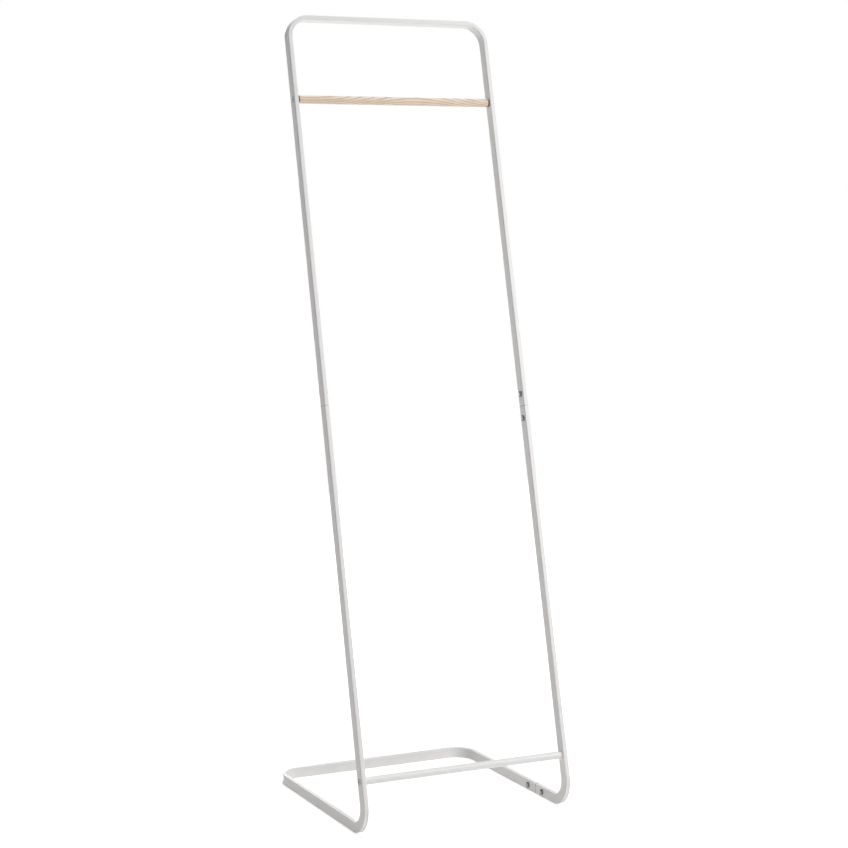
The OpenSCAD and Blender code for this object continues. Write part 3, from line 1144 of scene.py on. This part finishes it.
@dataclass(frozen=True)
class Plan:
    """Places and sizes of the stand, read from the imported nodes.

    Args:
        half_width: from the middle to the outer faces of the posts.
        inner_x: from the middle to the inner faces of the posts.
        tube_d: depth of the tube.
        up: direction up along a post.
        back: direction through a post from front to back.
        post_seams: middle of each post's seam.
        base_seam_y: place of the seams in the base bars.
        top: height of the stand.
        rear: rear of the stand.
        corner_r: outer radius along the corners of the tube.
        post_gap: open seam between the two tube ends of a post.
        base_gap: open seam between the two tube ends of a base bar.
        left_base_gap: the same on the left, where the tube ends sit closer.
    """

    half_width: float
    inner_x: float
    tube_d: float
    up: Vector
    back: Vector
    post_seams: Mapping[Side, Vector]
    base_seam_y: float
    top: float
    rear: float
    corner_r: float = 2 * MM
    post_gap: float = 0.5 * MM
    base_gap: float = 1.0 * MM
    left_base_gap: float = 0.4 * MM

    @classmethod
    def measured(cls) -> Plan:
        """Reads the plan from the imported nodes.

        Returns:
            The plan.
        """
        base_low, base_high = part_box("base_frame")
        low_screw = middle_of("right_post_screw_lower")
        high_screw = middle_of("right_post_screw_upper")
        up = (high_screw - low_screw).normalized()
        return cls(
            half_width=base_high.x,
            inner_x=size_of("lower_rail").x / 2,
            tube_d=base_high.z - base_low.z,
            up=up,
            back=up.cross(ACROSS),
            post_seams={side: middle_of(f"{side.word}_post_connector") for side in Side},
            base_seam_y=base_low.y - cls.base_gap / 2,
            top=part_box("upper_frame")[1].z,
            rear=base_high.y,
        )

    @property
    def tube_w(self) -> float:
        """Width of the tube, as seen on the front of a post."""
        return self.half_width - self.inner_x

    def base_gap_on(self, side: Side) -> float:
        """Open seam of a side's base bar."""
        return self.left_base_gap if side is Side.LEFT else self.base_gap

    def post_x(self, side: Side) -> float:
        """Middle of a side's post and base bar."""
        return side.value * (self.half_width - self.tube_w / 2)

    def post_point(self, side: Side, height: float) -> Vector:
        """The point of a post's middle line at a height."""
        seam = self.post_seams[side]
        return seam + self.up * ((height - seam.z) / self.up.z)

    def floor_corner(self, side: Side) -> Vector:
        """Where the middle lines of a post and its base bar meet."""
        return self.post_point(side, self.tube_d / 2)

    def top_corner(self, side: Side) -> Vector:
        """Where the middle lines of a post and the top bar meet.

        The stand's height is that of the top bar's front upper corner, as the loop leans back.

        Args:
            side: which post.

        Returns:
            The point.
        """
        over_front = (self.tube_d / 2 - self.corner_r) * -self.back.z
        outer_height = self.top - self.corner_r - over_front
        outer = self.post_point(side, outer_height) + self.up * self.corner_r
        return outer - self.up * (self.tube_w / 2)

    def back_corner(self, side: Side) -> Vector:
        """Where the middle lines of a base bar and the back bar meet."""
        return Vector((self.post_x(side), self.rear - self.tube_w / 2, self.tube_d / 2))

    def base_point(self, side: Side, y: float) -> Vector:
        """The point of a base bar's middle line at a depth."""
        return Vector((self.post_x(side), y, self.tube_d / 2))


def middle_of(node: str) -> Vector:
    """The middle of a node's box."""
    low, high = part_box(node)
    return (low + high) / 2


def size_of(node: str) -> Vector:
    """The size of a node's box."""
    low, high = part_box(node)
    return high - low


def side_of(place: Vector) -> Side:
    """The side of the stand that a place lies on."""
    return Side.RIGHT if place.x > 0 else Side.LEFT


@dataclass(frozen=True)
class Bend:
    """How a flat tube looks where it is bent.

    Args:
        outer_r: outer radius of the bend.
        outer_dent: depth that the outer wall is drawn in.
        inner_dent: depth that the inner wall is drawn in.
        land: flat land on each side of the dents.
        power: how slowly the dents set in; under one they set in at once.
    """

    outer_r: float
    outer_dent: float
    inner_dent: float
    land: float
    power: float


@dataclass(frozen=True)
class FlatTube:
    """Flat tube stock, and the ways that it is bent, drilled and painted.

    Args:
        plan: places and sizes of the stand.
        shop: holder of the shared trees.
        paint: its material.
        wall: thickness of its wall.
        end_r: radius of the edges of its sawn ends.
        end_segments: faces across such an edge.
        end_angle: least angle between two faces whose edge is rounded so.
        end_slant: how square to the tube a face of a sawn end is, as a cosine.
        hole_d: diameter of a hole.
        hole_sides: sides of a hole.
        drill_over: how far a drill comes out past a wall.
        strip: width of a strip of faces along the tube.
        corner_steps: faces round a corner along the tube.
        bend_steps: faces along a bend.
        dent_share: share of a bend that its dents take.
    """

    plan: Plan
    shop: Workshop
    paint: bpy.types.Material
    wall: float = 1.2 * MM
    end_r: float = 0.2 * MM
    end_segments: int = 2
    end_angle: float = math.radians(60)
    end_slant: float = 0.6
    hole_d: float = 6.5 * MM
    hole_sides: int = 32
    drill_over: float = 1.0 * MM
    strip: float = 1.0 * MM
    corner_steps: int = 5
    bend_steps: int = 30
    dent_share: float = 0.96

    def bent(
        self,
        name: str,
        route: Sequence[Vector],
        plane_normal: Vector,
        bending: Bending,
        bend: Bend,
        holes: Sequence[tuple[Vector, float]],
    ) -> bpy.types.Object:
        """Bends, cuts and drills one tube.

        Args:
            name: name of the piece.
            route: corners of its middle line, counterclockwise about the normal.
            plane_normal: direction square to the plane of its bends.
            bending: which wall faces out.
            bend: the look of its bends.
            holes: middle and length of each drilled hole, along X.

        Returns:
            The finished tube.
        """
        flatwise = bending is Bending.FLATWISE
        side_width = self.plan.tube_d if flatwise else self.plan.tube_w
        radial_width = self.plan.tube_w if flatwise else self.plan.tube_d
        piece = chain(name, route)
        apply_tree(
            piece,
            self.shop.bent_tube,
            {
                "Plane normal": plane_normal,
                "Side width": side_width,
                "Radial width": radial_width,
                "Corner radius": self.plan.corner_r,
                "Corner steps": self.corner_steps,
                "Strip width": self.strip,
                "Bend radius": bend.outer_r - radial_width / 2,
                "Bend steps": self.bend_steps,
                "Outer dent": bend.outer_dent,
                "Inner dent": bend.inner_dent,
                "Dent land": bend.land,
                "Dent share": self.dent_share,
                "Dent power": bend.power,
                "Finish": self.paint,
            },
        )
        wall = piece.modifiers.new("wall", "SOLIDIFY")
        wall.thickness = self.wall
        wall.offset = -1.0
        wall.use_even_offset = True
        ends = piece.modifiers.new("soft ends", "BEVEL")
        ends.width = self.end_r
        ends.segments = self.end_segments
        ends.limit_method = "ANGLE"
        ends.angle_limit = self.end_angle
        pins = self.pins(holes)
        drilled = piece.modifiers.new("holes", "BOOLEAN")
        drilled.operation = "DIFFERENCE"
        drilled.solver = "EXACT"
        drilled.object = pins
        settle(piece)
        bpy.data.objects.remove(pins)
        self.mark_ends(piece, route)
        return piece

    def mark_ends(self, piece: bpy.types.Object, route: Sequence[Vector]) -> None:
        """Stores painted shade on the sawn end faces of a tube, so that its open seams read dark.

        Args:
            piece: the finished tube.
            route: corners of its middle line.
        """
        marks = piece.data.attributes.new(PAINTED_SHADE, "FLOAT", "FACE")
        ends = [(route[0], route[0] - route[1]), (route[-1], route[-1] - route[-2])]
        for face in piece.data.polygons:
            for end, run in ends:
                outward = run.normalized()
                near = abs((face.center - end).dot(outward)) < self.end_r
                if near and face.normal.dot(outward) > self.end_slant:
                    # Painted shade: full on the end faces in the seam
                    marks.data[face.index].value = 1.0

    def pins(self, holes: Sequence[tuple[Vector, float]]) -> bpy.types.Object:
        """Pins along X that cut the holes.

        Args:
            holes: middle and length of each.

        Returns:
            One object that holds all pins.
        """
        shapes = bmesh.new()
        turn = ACROSS.to_track_quat("Z", "Y")
        for middle, length in holes:
            ring = bmesh.ops.create_circle(
                shapes, cap_ends=True, segments=self.hole_sides, radius=self.hole_d / 2
            )
            for vert in ring["verts"]:
                vert.co = turn @ vert.co + middle - ACROSS * (length / 2)
            face = ring["verts"][0].link_faces[0]
            top = bmesh.ops.extrude_face_region(shapes, geom=[face])
            far_end = [g for g in top["geom"] if isinstance(g, bmesh.types.BMVert)]
            bmesh.ops.translate(shapes, verts=far_end, vec=ACROSS * length)
        bmesh.ops.recalc_face_normals(shapes, faces=shapes.faces)
        mesh = bpy.data.meshes.new("pins")
        shapes.to_mesh(mesh)
        shapes.free()
        return added("pins", mesh)


@dataclass(frozen=True)
class TubeFrame:
    """The four bent tubes: upper frame, two legs and base frame.

    Args:
        plan: places and sizes of the stand.
        tube: the stock that they are bent from.
        top_bend: the bends between the posts and the top bar.
        back_bend: the bends between the base bars and the back bar.
        foot_bend: the bends between the posts and the base bars.
    """

    plan: Plan
    tube: FlatTube
    top_bend: Bend = Bend(
        outer_r=48 * MM, outer_dent=3.4 * MM, inner_dent=0.4 * MM, land=2.2 * MM, power=0.8
    )
    back_bend: Bend = Bend(
        outer_r=48 * MM, outer_dent=3.8 * MM, inner_dent=0.4 * MM, land=2.2 * MM, power=0.6
    )
    foot_bend: Bend = Bend(
        outer_r=54 * MM, outer_dent=1.4 * MM, inner_dent=0.0, land=1.6 * MM, power=1.2
    )

    def joint_hole(self, screw: str) -> tuple[Vector, float]:
        """Hole through the inner wall alone, for a joint screw.

        Args:
            screw: the screw's node.

        Returns:
            Middle and length of the hole.
        """
        at = middle_of(screw)
        x = side_of(at).value * self.plan.inner_x
        return Vector((x, at.y, at.z)), 2 * self.tube.wall + self.tube.drill_over

    def rail_hole(self, screw: str) -> tuple[Vector, float]:
        """Hole through both walls, for a rail screw.

        Args:
            screw: the screw's node.

        Returns:
            Middle and length of the hole.
        """
        at = middle_of(screw)
        x = self.plan.post_x(side_of(at))
        return Vector((x, at.y, at.z)), self.plan.tube_w + 2 * self.tube.drill_over

    def upper_frame(self) -> bpy.types.Object:
        """The inverted U from one post seam over the top to the other.

        Returns:
            The finished tube.
        """
        plan = self.plan
        gap = plan.up * (plan.post_gap / 2)
        route = [
            plan.post_seams[Side.RIGHT] + gap,
            plan.top_corner(Side.RIGHT),
            plan.top_corner(Side.LEFT),
            plan.post_seams[Side.LEFT] + gap,
        ]
        holes = [self.rail_hole(f"{side.word}_hanging_rail_screw") for side in Side]
        holes += [self.joint_hole(f"{side.word}_post_screw_upper") for side in Side]
        piece = self.tube.bent(
            "upper_tube", route, -plan.back, Bending.FLATWISE, self.top_bend, holes
        )
        return stands_for(piece, Slot.POWDER_COAT, "upper_frame")

    def leg(self, side: Side) -> bpy.types.Object:
        """The tube from a post seam down round the front bend to the base seam.

        Args:
            side: which leg.

        Returns:
            The finished leg.
        """
        plan = self.plan
        base_end = plan.base_point(side, plan.base_seam_y - plan.base_gap_on(side) / 2)
        route = [
            plan.post_seams[side] - plan.up * (plan.post_gap / 2),
            plan.floor_corner(side),
            base_end,
        ]
        holes = [
            self.rail_hole(f"{side.word}_lower_rail_screw"),
            self.joint_hole(f"{side.word}_post_screw_lower"),
            self.joint_hole(f"{side.word}_base_screw_front"),
        ]
        piece = self.tube.bent(
            f"{side.word}_leg_tube",
            route,
            ACROSS,
            Bending.EDGEWISE,
            self.foot_bend,
            holes,
        )
        return stands_for(piece, Slot.POWDER_COAT, f"{side.word}_leg")

    def base_frame(self) -> bpy.types.Object:
        """The U on the floor, behind the base seams.

        Returns:
            The finished tube.
        """
        plan = self.plan
        ends = {side: plan.base_seam_y + plan.base_gap_on(side) / 2 for side in Side}
        route = [
            plan.base_point(Side.RIGHT, ends[Side.RIGHT]),
            plan.back_corner(Side.RIGHT),
            plan.back_corner(Side.LEFT),
            plan.base_point(Side.LEFT, ends[Side.LEFT]),
        ]
        holes = [self.joint_hole(f"{side.word}_base_screw_back") for side in Side]
        piece = self.tube.bent(
            "base_tube", route, UPWARD, Bending.FLATWISE, self.back_bend, holes
        )
        return stands_for(piece, Slot.POWDER_COAT, "base_frame")

    def build(self) -> None:
        """Builds the four tubes."""
        self.upper_frame()
        for side in Side:
            self.leg(side)
        self.base_frame()


def arc(centre: tuple[float, float], radius: float, start: float, end: float, steps: int) -> Outline:
    """Points of an arc, ends included, with angles in degrees."""
    angles = (math.radians(start + (end - start) * i / steps) for i in range(steps + 1))
    return [(centre[0] + radius * math.cos(a), centre[1] + radius * math.sin(a)) for a in angles]


@dataclass(frozen=True)
class Rails:
    """The wood hanging rail and the thin steel rail near the floor.

    Args:
        shop: holder of the shared trees.
        wood: material of the hanging rail.
        paint: material of the lower rail.
        sides: sides of a rail.
        ring_steps: faces round the edge of a rail's end.
        wood_end_r: radius of the wood rail's ends.
        wood_bore_d: diameter of the bore for an insert.
        wood_bore_depth: depth of that bore.
        steel_end_r: radius of the steel rail's ends.
        steel_wall: thickness of the steel rail's wall.
    """

    shop: Workshop
    wood: bpy.types.Material
    paint: bpy.types.Material
    sides: int = 64
    ring_steps: int = 8
    wood_end_r: float = 2.5 * MM
    wood_bore_d: float = 9.1 * MM
    wood_bore_depth: float = 22.05 * MM
    steel_end_r: float = 0.9 * MM
    steel_wall: float = 1.2 * MM

    def turned(
        self,
        name: str,
        node: str,
        inside: Outline,
        end_r: float,
        finish: bpy.types.Material,
        closed: bool = False,
    ) -> bpy.types.Object:
        """Turns a rail about the axis of the node that it stands for.

        Args:
            name: name of the piece.
            node: the node whose axis, length and thickness it takes.
            inside: left half of its inside, as (distance from the left end, radius).
            end_r: radius of its ends.
            finish: its material.
            closed: whether the inside goes on from end to end.

        Returns:
            The finished rail.
        """
        size = size_of(node)
        left = inside + arc((end_r, size.z / 2 - end_r), end_r, 180, 90, self.ring_steps)
        right = [(size.x - x, radius) for x, radius in reversed(left)]
        middle = middle_of(node)
        values = {
            "Sides": self.sides,
            "Axis": ACROSS,
            "Foot": Vector((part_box(node)[0].x, middle.y, middle.z)),
            "Finish": finish,
        }
        return settle(self.shop.turned(name, left + right, values, closed))

    def hanging_rail(self) -> bpy.types.Object:
        """The round wood rail, with a bore in each end for its insert.

        Returns:
            The finished rail.
        """
        depth, radius = self.wood_bore_depth, self.wood_bore_d / 2
        bore = [(depth, 0.0), (depth, radius), (0.0, radius)]
        piece = self.turned("wood_rail", "hanging_rail", bore, self.wood_end_r, self.wood)
        return stands_for(piece, Slot.PALE_WOOD, "hanging_rail")

    def lower_rail(self) -> bpy.types.Object:
        """The thin steel tube, with its ends a little rounded.

        Returns:
            The finished rail.
        """
        bore = [(0.0, size_of("lower_rail").z / 2 - self.steel_wall)]
        piece = self.turned("steel_rail", "lower_rail", bore, self.steel_end_r, self.paint, closed=True)
        return stands_for(piece, Slot.POWDER_COAT, "lower_rail")

    def build(self) -> None:
        """Builds both rails."""
        self.hanging_rail()
        self.lower_rail()


@dataclass(frozen=True)
class Head:
    """Shape of a screw's head.

    Args:
        facing: out on the outer faces of the posts, in on the inner ones.
        dome_r: radius of its dome.
        slot_depth: depth of its cross recess.
        ring_start: distance from its axis at which the ring round its top starts.
        dome_shade: painted shade within the ring; 0 leaves the plate bright and 1 darkest.
        ring_shade: painted shade on the ring, for its dark reflections.
        wall_shade: painted shade on its side.
        recess_shade: painted shade in the recess.
    """

    facing: Facing
    dome_r: float
    slot_depth: float
    ring_start: float
    dome_shade: float
    ring_shade: float
    wall_shade: float
    recess_shade: float


@dataclass(frozen=True)
class Screws:
    """Twelve cross-head screws, in six pairs.

    Args:
        plan: places and sizes of the stand.
        shop: holder of the shared trees.
        zinc: their material.
        thread_d: outer diameter of the thread.
        thread_depth: depth of the thread.
        pitch: height of one turn of the thread.
        tip_chamfer: size of the chamfer at the tip.
        rim_r: radius of the head's rim.
        joint_head: head of the screws that hold the tube joints.
        rail_head: head of the screws that hold the rails.
        slot_length: length of each slot of the cross recess.
        slot_width: width of each slot.
        slot_taper: width of the recess at its bottom, as a share of that at its top.
        sides: sides of a screw.
        dome_steps: faces from the top of the dome to the rim.
        rim_steps: faces round the upper edge of the rim.
        foot_steps: faces round its lower edge.
        steps_per_turn: faces along one turn of the thread.
    """

    plan: Plan
    shop: Workshop
    zinc: bpy.types.Material
    thread_d: float = 6.0 * MM
    thread_depth: float = 0.5 * MM
    pitch: float = 1.0 * MM
    tip_chamfer: float = 0.8 * MM
    rim_r: float = 0.35 * MM
    # Painted shade on the heads: the joint heads get a dark ring, side and recess, the rail heads a
    # milder one
    joint_head: Head = Head(
        facing=Facing.IN,
        dome_r=9.69 * MM,
        slot_depth=2.0 * MM,
        ring_start=3.2 * MM,
        dome_shade=0.0,
        ring_shade=0.85,
        wall_shade=0.75,
        recess_shade=0.5,
    )
    rail_head: Head = Head(
        facing=Facing.OUT,
        dome_r=19.84 * MM,
        slot_depth=1.0 * MM,
        ring_start=4.6 * MM,
        dome_shade=0.3,
        ring_shade=0.45,
        wall_shade=0.4,
        recess_shade=0.9,
    )
    slot_length: float = 5.8 * MM
    slot_width: float = 1.5 * MM
    slot_taper: float = 0.5
    sides: int = 48
    dome_steps: int = 12
    rim_steps: int = 5
    foot_steps: int = 4
    steps_per_turn: int = 6

    def outline(self, head_d: float, head_h: float, dome_r: float, shank: float) -> Outline:
        """Half outline of a screw with its seat at zero and its head up.

        Args:
            head_d: diameter of the head.
            head_h: height of the head.
            dome_r: radius of the head's dome.
            shank: length of the shank.

        Returns:
            Points as (height, radius), from the top of the head to the tip.
        """
        edge = head_d / 2 - self.rim_r
        reach = math.degrees(math.asin(edge / dome_r))
        top = arc((head_h - dome_r, 0.0), dome_r, 0, reach, self.dome_steps)
        rim_height = top[-1][0] - self.rim_r
        rim = arc((rim_height, edge), self.rim_r, reach, 90, self.rim_steps)
        foot = arc((self.rim_r, edge), self.rim_r, 90, 180, self.foot_steps)
        radius = self.thread_d / 2
        steps = round((shank - self.tip_chamfer) / self.pitch * self.steps_per_turn)
        body = [(-(shank - self.tip_chamfer) * i / steps, radius) for i in range(steps + 1)]
        tip = [(-shank, radius - self.tip_chamfer), (-shank, 0.0)]
        return top + rim + foot + body + tip

    def bare(self, name: str, node: str, head: Head, seat_x: float) -> tuple[bpy.types.Object, float]:
        """Turns one screw, its head up and its cross recess not yet cut.

        Args:
            name: name of the piece.
            node: the node whose size it takes.
            head: shape of its head.
            seat_x: distance of its seat from the stand's middle plane.

        Returns:
            The screw, its modifier still live, and the height of its head.
        """
        low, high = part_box(node)
        near, far = sorted((abs(low.x), abs(high.x)))
        inside, outside = seat_x - near, far - seat_x
        head_h, shank = (outside, inside) if head.facing is Facing.OUT else (inside, outside)
        values = {
            "Sides": self.sides,
            "Axis": UPWARD,
            "Thread pitch": self.pitch,
            "Thread depth": self.thread_depth,
            "Thread start": self.tip_chamfer - shank,
            "Thread end": -self.pitch,
            "Finish": self.zinc,
        }
        outline = self.outline(high.z - low.z, head_h, head.dome_r, shank)
        return self.shop.turned(name, outline, values), head_h

    def pair(self, name: str, nodes: tuple[str, str], head: Head, chance: int) -> bpy.types.Object:
        """Sets two like screws on their seats.

        Args:
            name: name of the pair.
            nodes: the two nodes that it stands for.
            head: shape of both heads.
            chance: seed of the heads' turns.

        Returns:
            The finished pair.
        """
        seat_x = self.plan.half_width if head.facing is Facing.OUT else self.plan.inner_x
        places = [middle_of(node) for node in nodes]
        seats = [Vector((math.copysign(seat_x, at.x), at.y, at.z)) for at in places]
        piece, head_h = self.bare(name, nodes[0], head, seat_x)
        apply_tree(
            piece,
            self.shop.cross_screws,
            {
                "Head height": head_h,
                "Dome radius": head.dome_r,
                "Slot length": self.slot_length,
                "Slot width": self.slot_width,
                "Slot depth": head.slot_depth,
                "Slot taper": self.slot_taper,
                "Ring start": head.ring_start,
                "Dome shade": head.dome_shade,
                "Ring shade": head.ring_shade,
                "Wall shade": head.wall_shade,
                "Recess shade": head.recess_shade,
                "First seat": seats[0],
                "Last seat": seats[1],
                "Seats": len(seats),
                "Outward": head.facing.value,
                "Chance": chance,
                "Finish": self.zinc,
            },
        )
        return stands_for(settle(piece), Slot.ZINC_PLATE, *nodes)

    def build(self) -> None:
        """Builds the six pairs, each with a seed of its own."""
        for number, side in enumerate(Side):
            word = side.word
            post = (f"{word}_post_screw_lower", f"{word}_post_screw_upper")
            base = (f"{word}_base_screw_front", f"{word}_base_screw_back")
            self.pair(f"{word}_post_screws", post, self.joint_head, number)
            self.pair(f"{word}_base_screws", base, self.joint_head, number + len(Side))
        for number, rail in enumerate(("hanging_rail", "lower_rail")):
            nodes = (f"left_{rail}_screw", f"right_{rail}_screw")
            self.pair(f"{rail}_screws", nodes, self.rail_head, number + 2 * len(Side))


@dataclass(frozen=True)
class Fittings:
    """The bars, inserts and plugs inside the tubes and rails, which keep their solids.

    Args:
        nodes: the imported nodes, by name.
        steel: material of the bars and plugs.
        zinc: material of the inserts.
    """

    nodes: Mapping[str, bpy.types.Object]
    steel: bpy.types.Material
    zinc: bpy.types.Material

    def dress(self) -> None:
        """Gives each fitting its finish."""
        finishes = {
            "post_connector": self.steel,
            "base_connector": self.steel,
            "rail_plug": self.steel,
            "rail_insert": self.zinc,
        }
        for side in Side:
            for fitting, finish in finishes.items():
                node = f"{side.word}_{fitting}"
                self.nodes[node].material_slots[0].material = finish
                log.info("%s: %s", node, finish.name)


@dataclass(frozen=True)
class Lamp:
    """One soft rectangular lamp.

    Args:
        name: name of the lamp.
        place: its middle.
        aim: the point that it faces.
        size: its width and height.
        power: its power in watts.
        colour: its colour.
    """

    name: str
    place: tuple[float, float, float]
    aim: tuple[float, float, float]
    size: tuple[float, float]
    power: float
    colour: Colour = WHITE

    def hang(self) -> bpy.types.Object:
        """Adds the lamp to the scene.

        Returns:
            The lamp, which the camera does not see.
        """
        light = bpy.data.lights.new(self.name, "AREA")
        light.shape = "RECTANGLE"
        light.size, light.size_y = self.size
        light.energy = self.power
        light.color = self.colour
        lamp = added(self.name, light)
        lamp.visible_camera = False
        lamp.location = self.place
        towards = Vector(self.aim) - Vector(self.place)
        lamp.rotation_euler = towards.to_track_quat("-Z", "Y").to_euler()
        return lamp


@dataclass(frozen=True)
class Studio:
    """Camera, lamps, surroundings and floor.

    Args:
        camera_place: where the camera stands.
        camera_tilt: its tilt up from straight down, in degrees.
        camera_turn: its turn to the left, in degrees.
        focal_px: its focal length, in pixels of the photograph.
        image_px: width and height of the photograph, in pixels.
        middle_row: row of the photograph that the lens points at.
        sensor: width of the camera's sensor, in millimetres.
        lamps: the soft lamps.
        fill: colour of the fill light from all round.
        fill_strength: strength of it.
        floor_half: half the floor's width.
        floor_colour: its colour.
        floor_roughness: its roughness.
        floor_glow: how bright it shows near the stand, where its shadow lies.
        floor_light: colour of the light that it sends up.
        floor_light_strength: strength of it.
        white_from: distance from the middle at which it begins to show brighter.
        white_by: distance at which it shows white.
    """

    camera_place: tuple[float, float, float] = (-1.8499, -3.8406, 1.2486)
    camera_tilt: float = 85.708
    camera_turn: float = -25.851
    focal_px: float = 2102.758
    image_px: float = 848.0
    middle_row: float = 345.96
    sensor: float = 36.0
    lamps: tuple[Lamp, ...] = (
        Lamp(
            name="overhead",
            place=(0.55, -0.75, 9.0),
            aim=(0.0, 0.0, 0.0),
            size=(5.0, 5.0),
            power=415.0,
        ),
        Lamp(
            name="front right",
            place=(1.7, -2.3, 1.9),
            aim=(0.0, 0.0, 0.9),
            size=(1.9, 1.9),
            power=49.5,
        ),
        Lamp(
            name="back",
            place=(0.0, 2.99, 1.06),
            aim=(0.0, 0.0, 0.8),
            size=(1.8, 1.8),
            power=40.0,
        ),
    )
    fill: Colour = (1.0, 0.95, 0.92)
    fill_strength: float = 0.03
    floor_half: float = 4.0
    floor_colour: Colour = (0.84, 0.84, 0.835)
    floor_roughness: float = 0.9
    floor_glow: float = 0.55
    floor_light: Colour = (1.0, 0.915, 0.87)
    floor_light_strength: float = 0.24
    white_from: float = 0.5
    white_by: float = 1.6

    def set_camera(self) -> None:
        """Sets the camera at the photograph's angle."""
        data = bpy.data.cameras.new("camera")
        data.sensor_width = self.sensor
        data.lens = self.focal_px / self.image_px * self.sensor
        data.shift_y = (self.middle_row - self.image_px / 2) / self.image_px
        camera = added("camera", data)
        camera.location = self.camera_place
        camera.rotation_euler = (math.radians(self.camera_tilt), 0.0, math.radians(self.camera_turn))
        bpy.context.scene.camera = camera

    def seen_directly(self, tree: Layout) -> bpy.types.NodeSocket:
        """Tells rays from the camera, and those that gloss or glass sends on, from the rest.

        Args:
            tree: the tree that asks.

        Returns:
            One for such rays and zero for others.
        """
        rays = tree.node("ShaderNodeLightPath").outputs
        either = tree.math("MAXIMUM", rays["Is Camera Ray"], rays["Is Glossy Ray"])
        return tree.math("MAXIMUM", either, rays["Is Transmission Ray"])

    def set_surroundings(self) -> None:
        """Sets a pale fill light that shows as plain white."""
        world = bpy.data.worlds.new("surroundings")
        world.use_nodes = True
        bpy.context.scene.world = world
        tree = Layout(world.node_tree)
        fill = world.node_tree.nodes["Background"]
        fill.inputs["Color"].default_value = (*self.fill, 1.0)
        fill.inputs["Strength"].default_value = self.fill_strength
        white = tree.put("ShaderNodeBackground", {"Color": (*WHITE, 1.0), "Strength": 1.0})
        shown = tree.put(
            "ShaderNodeMixShader", {0: self.seen_directly(tree), 1: fill.outputs[0], 2: white}
        )
        tree.plug(world.node_tree.nodes["World Output"].inputs["Surface"], shown)

    def lay_floor(self) -> None:
        """Lays a pale floor that shows as white and keeps the stand's soft shadow.

        The floor also sends a little warm light up, as a pale sweep does.
        """
        half = self.floor_half
        mesh = bpy.data.meshes.new("floor")
        corners = [(-half, -half, 0.0), (half, -half, 0.0), (half, half, 0.0), (-half, half, 0.0)]
        mesh.from_pydata(corners, [], [(0, 1, 2, 3)])
        floor = added("floor", mesh)
        material = bpy.data.materials.new("pale floor")
        material.use_nodes = True
        tree = Layout(material.node_tree)
        shader = material.node_tree.nodes["Principled BSDF"]
        shader.inputs["Base Color"].default_value = (*self.floor_colour, 1.0)
        shader.inputs["Roughness"].default_value = self.floor_roughness
        shader.inputs["Specular IOR Level"].default_value = 0.0
        place = tree.node("ShaderNodeTexCoord").outputs["Object"]
        away = tree.vector("LENGTH", place)
        strength = tree.ranged(away, self.floor_glow, 1.0, self.white_from, self.white_by)
        shown = tree.put("ShaderNodeEmission", {"Color": (*WHITE, 1.0), "Strength": strength})
        sent_up = tree.put(
            "ShaderNodeEmission",
            {"Color": (*self.floor_light, 1.0), "Strength": self.floor_light_strength},
        )
        glow = tree.put("ShaderNodeMixShader", {0: self.seen_directly(tree), 1: sent_up, 2: shown})
        both = tree.put("ShaderNodeAddShader", {0: shader.outputs[0], 1: glow})
        tree.plug(material.node_tree.nodes["Material Output"].inputs["Surface"], both)
        mesh.materials.append(material)

    def set_up(self) -> None:
        """Sets up the whole studio."""
        bpy.context.scene.view_settings.view_transform = "Standard"
        self.set_camera()
        self.set_surroundings()
        for lamp in self.lamps:
            lamp.hang()
        self.lay_floor()


def main() -> None:
    """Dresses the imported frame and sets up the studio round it."""
    logging.basicConfig(level=logging.INFO, format="%(name)s: %(message)s")
    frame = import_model()
    Studio().set_up()
    shop = Workshop()
    plan = Plan.measured()
    rail_middle = middle_of("hanging_rail")
    rail_half = size_of("hanging_rail").x / 2
    paint = PowderCoat(shop).material()
    zinc = ZincPlate(shop).material()
    steel = SeamShadeSteel(shop).material()
    wood = PaleWood(shop, (rail_middle.y, rail_middle.z), rail_half).material()
    TubeFrame(plan, FlatTube(plan, shop, paint)).build()
    Rails(shop, wood, paint).build()
    Screws(plan, shop, zinc).build()
    Fittings(frame["nodes"], steel, zinc).dress()


if __name__ == "__main__":
    main()
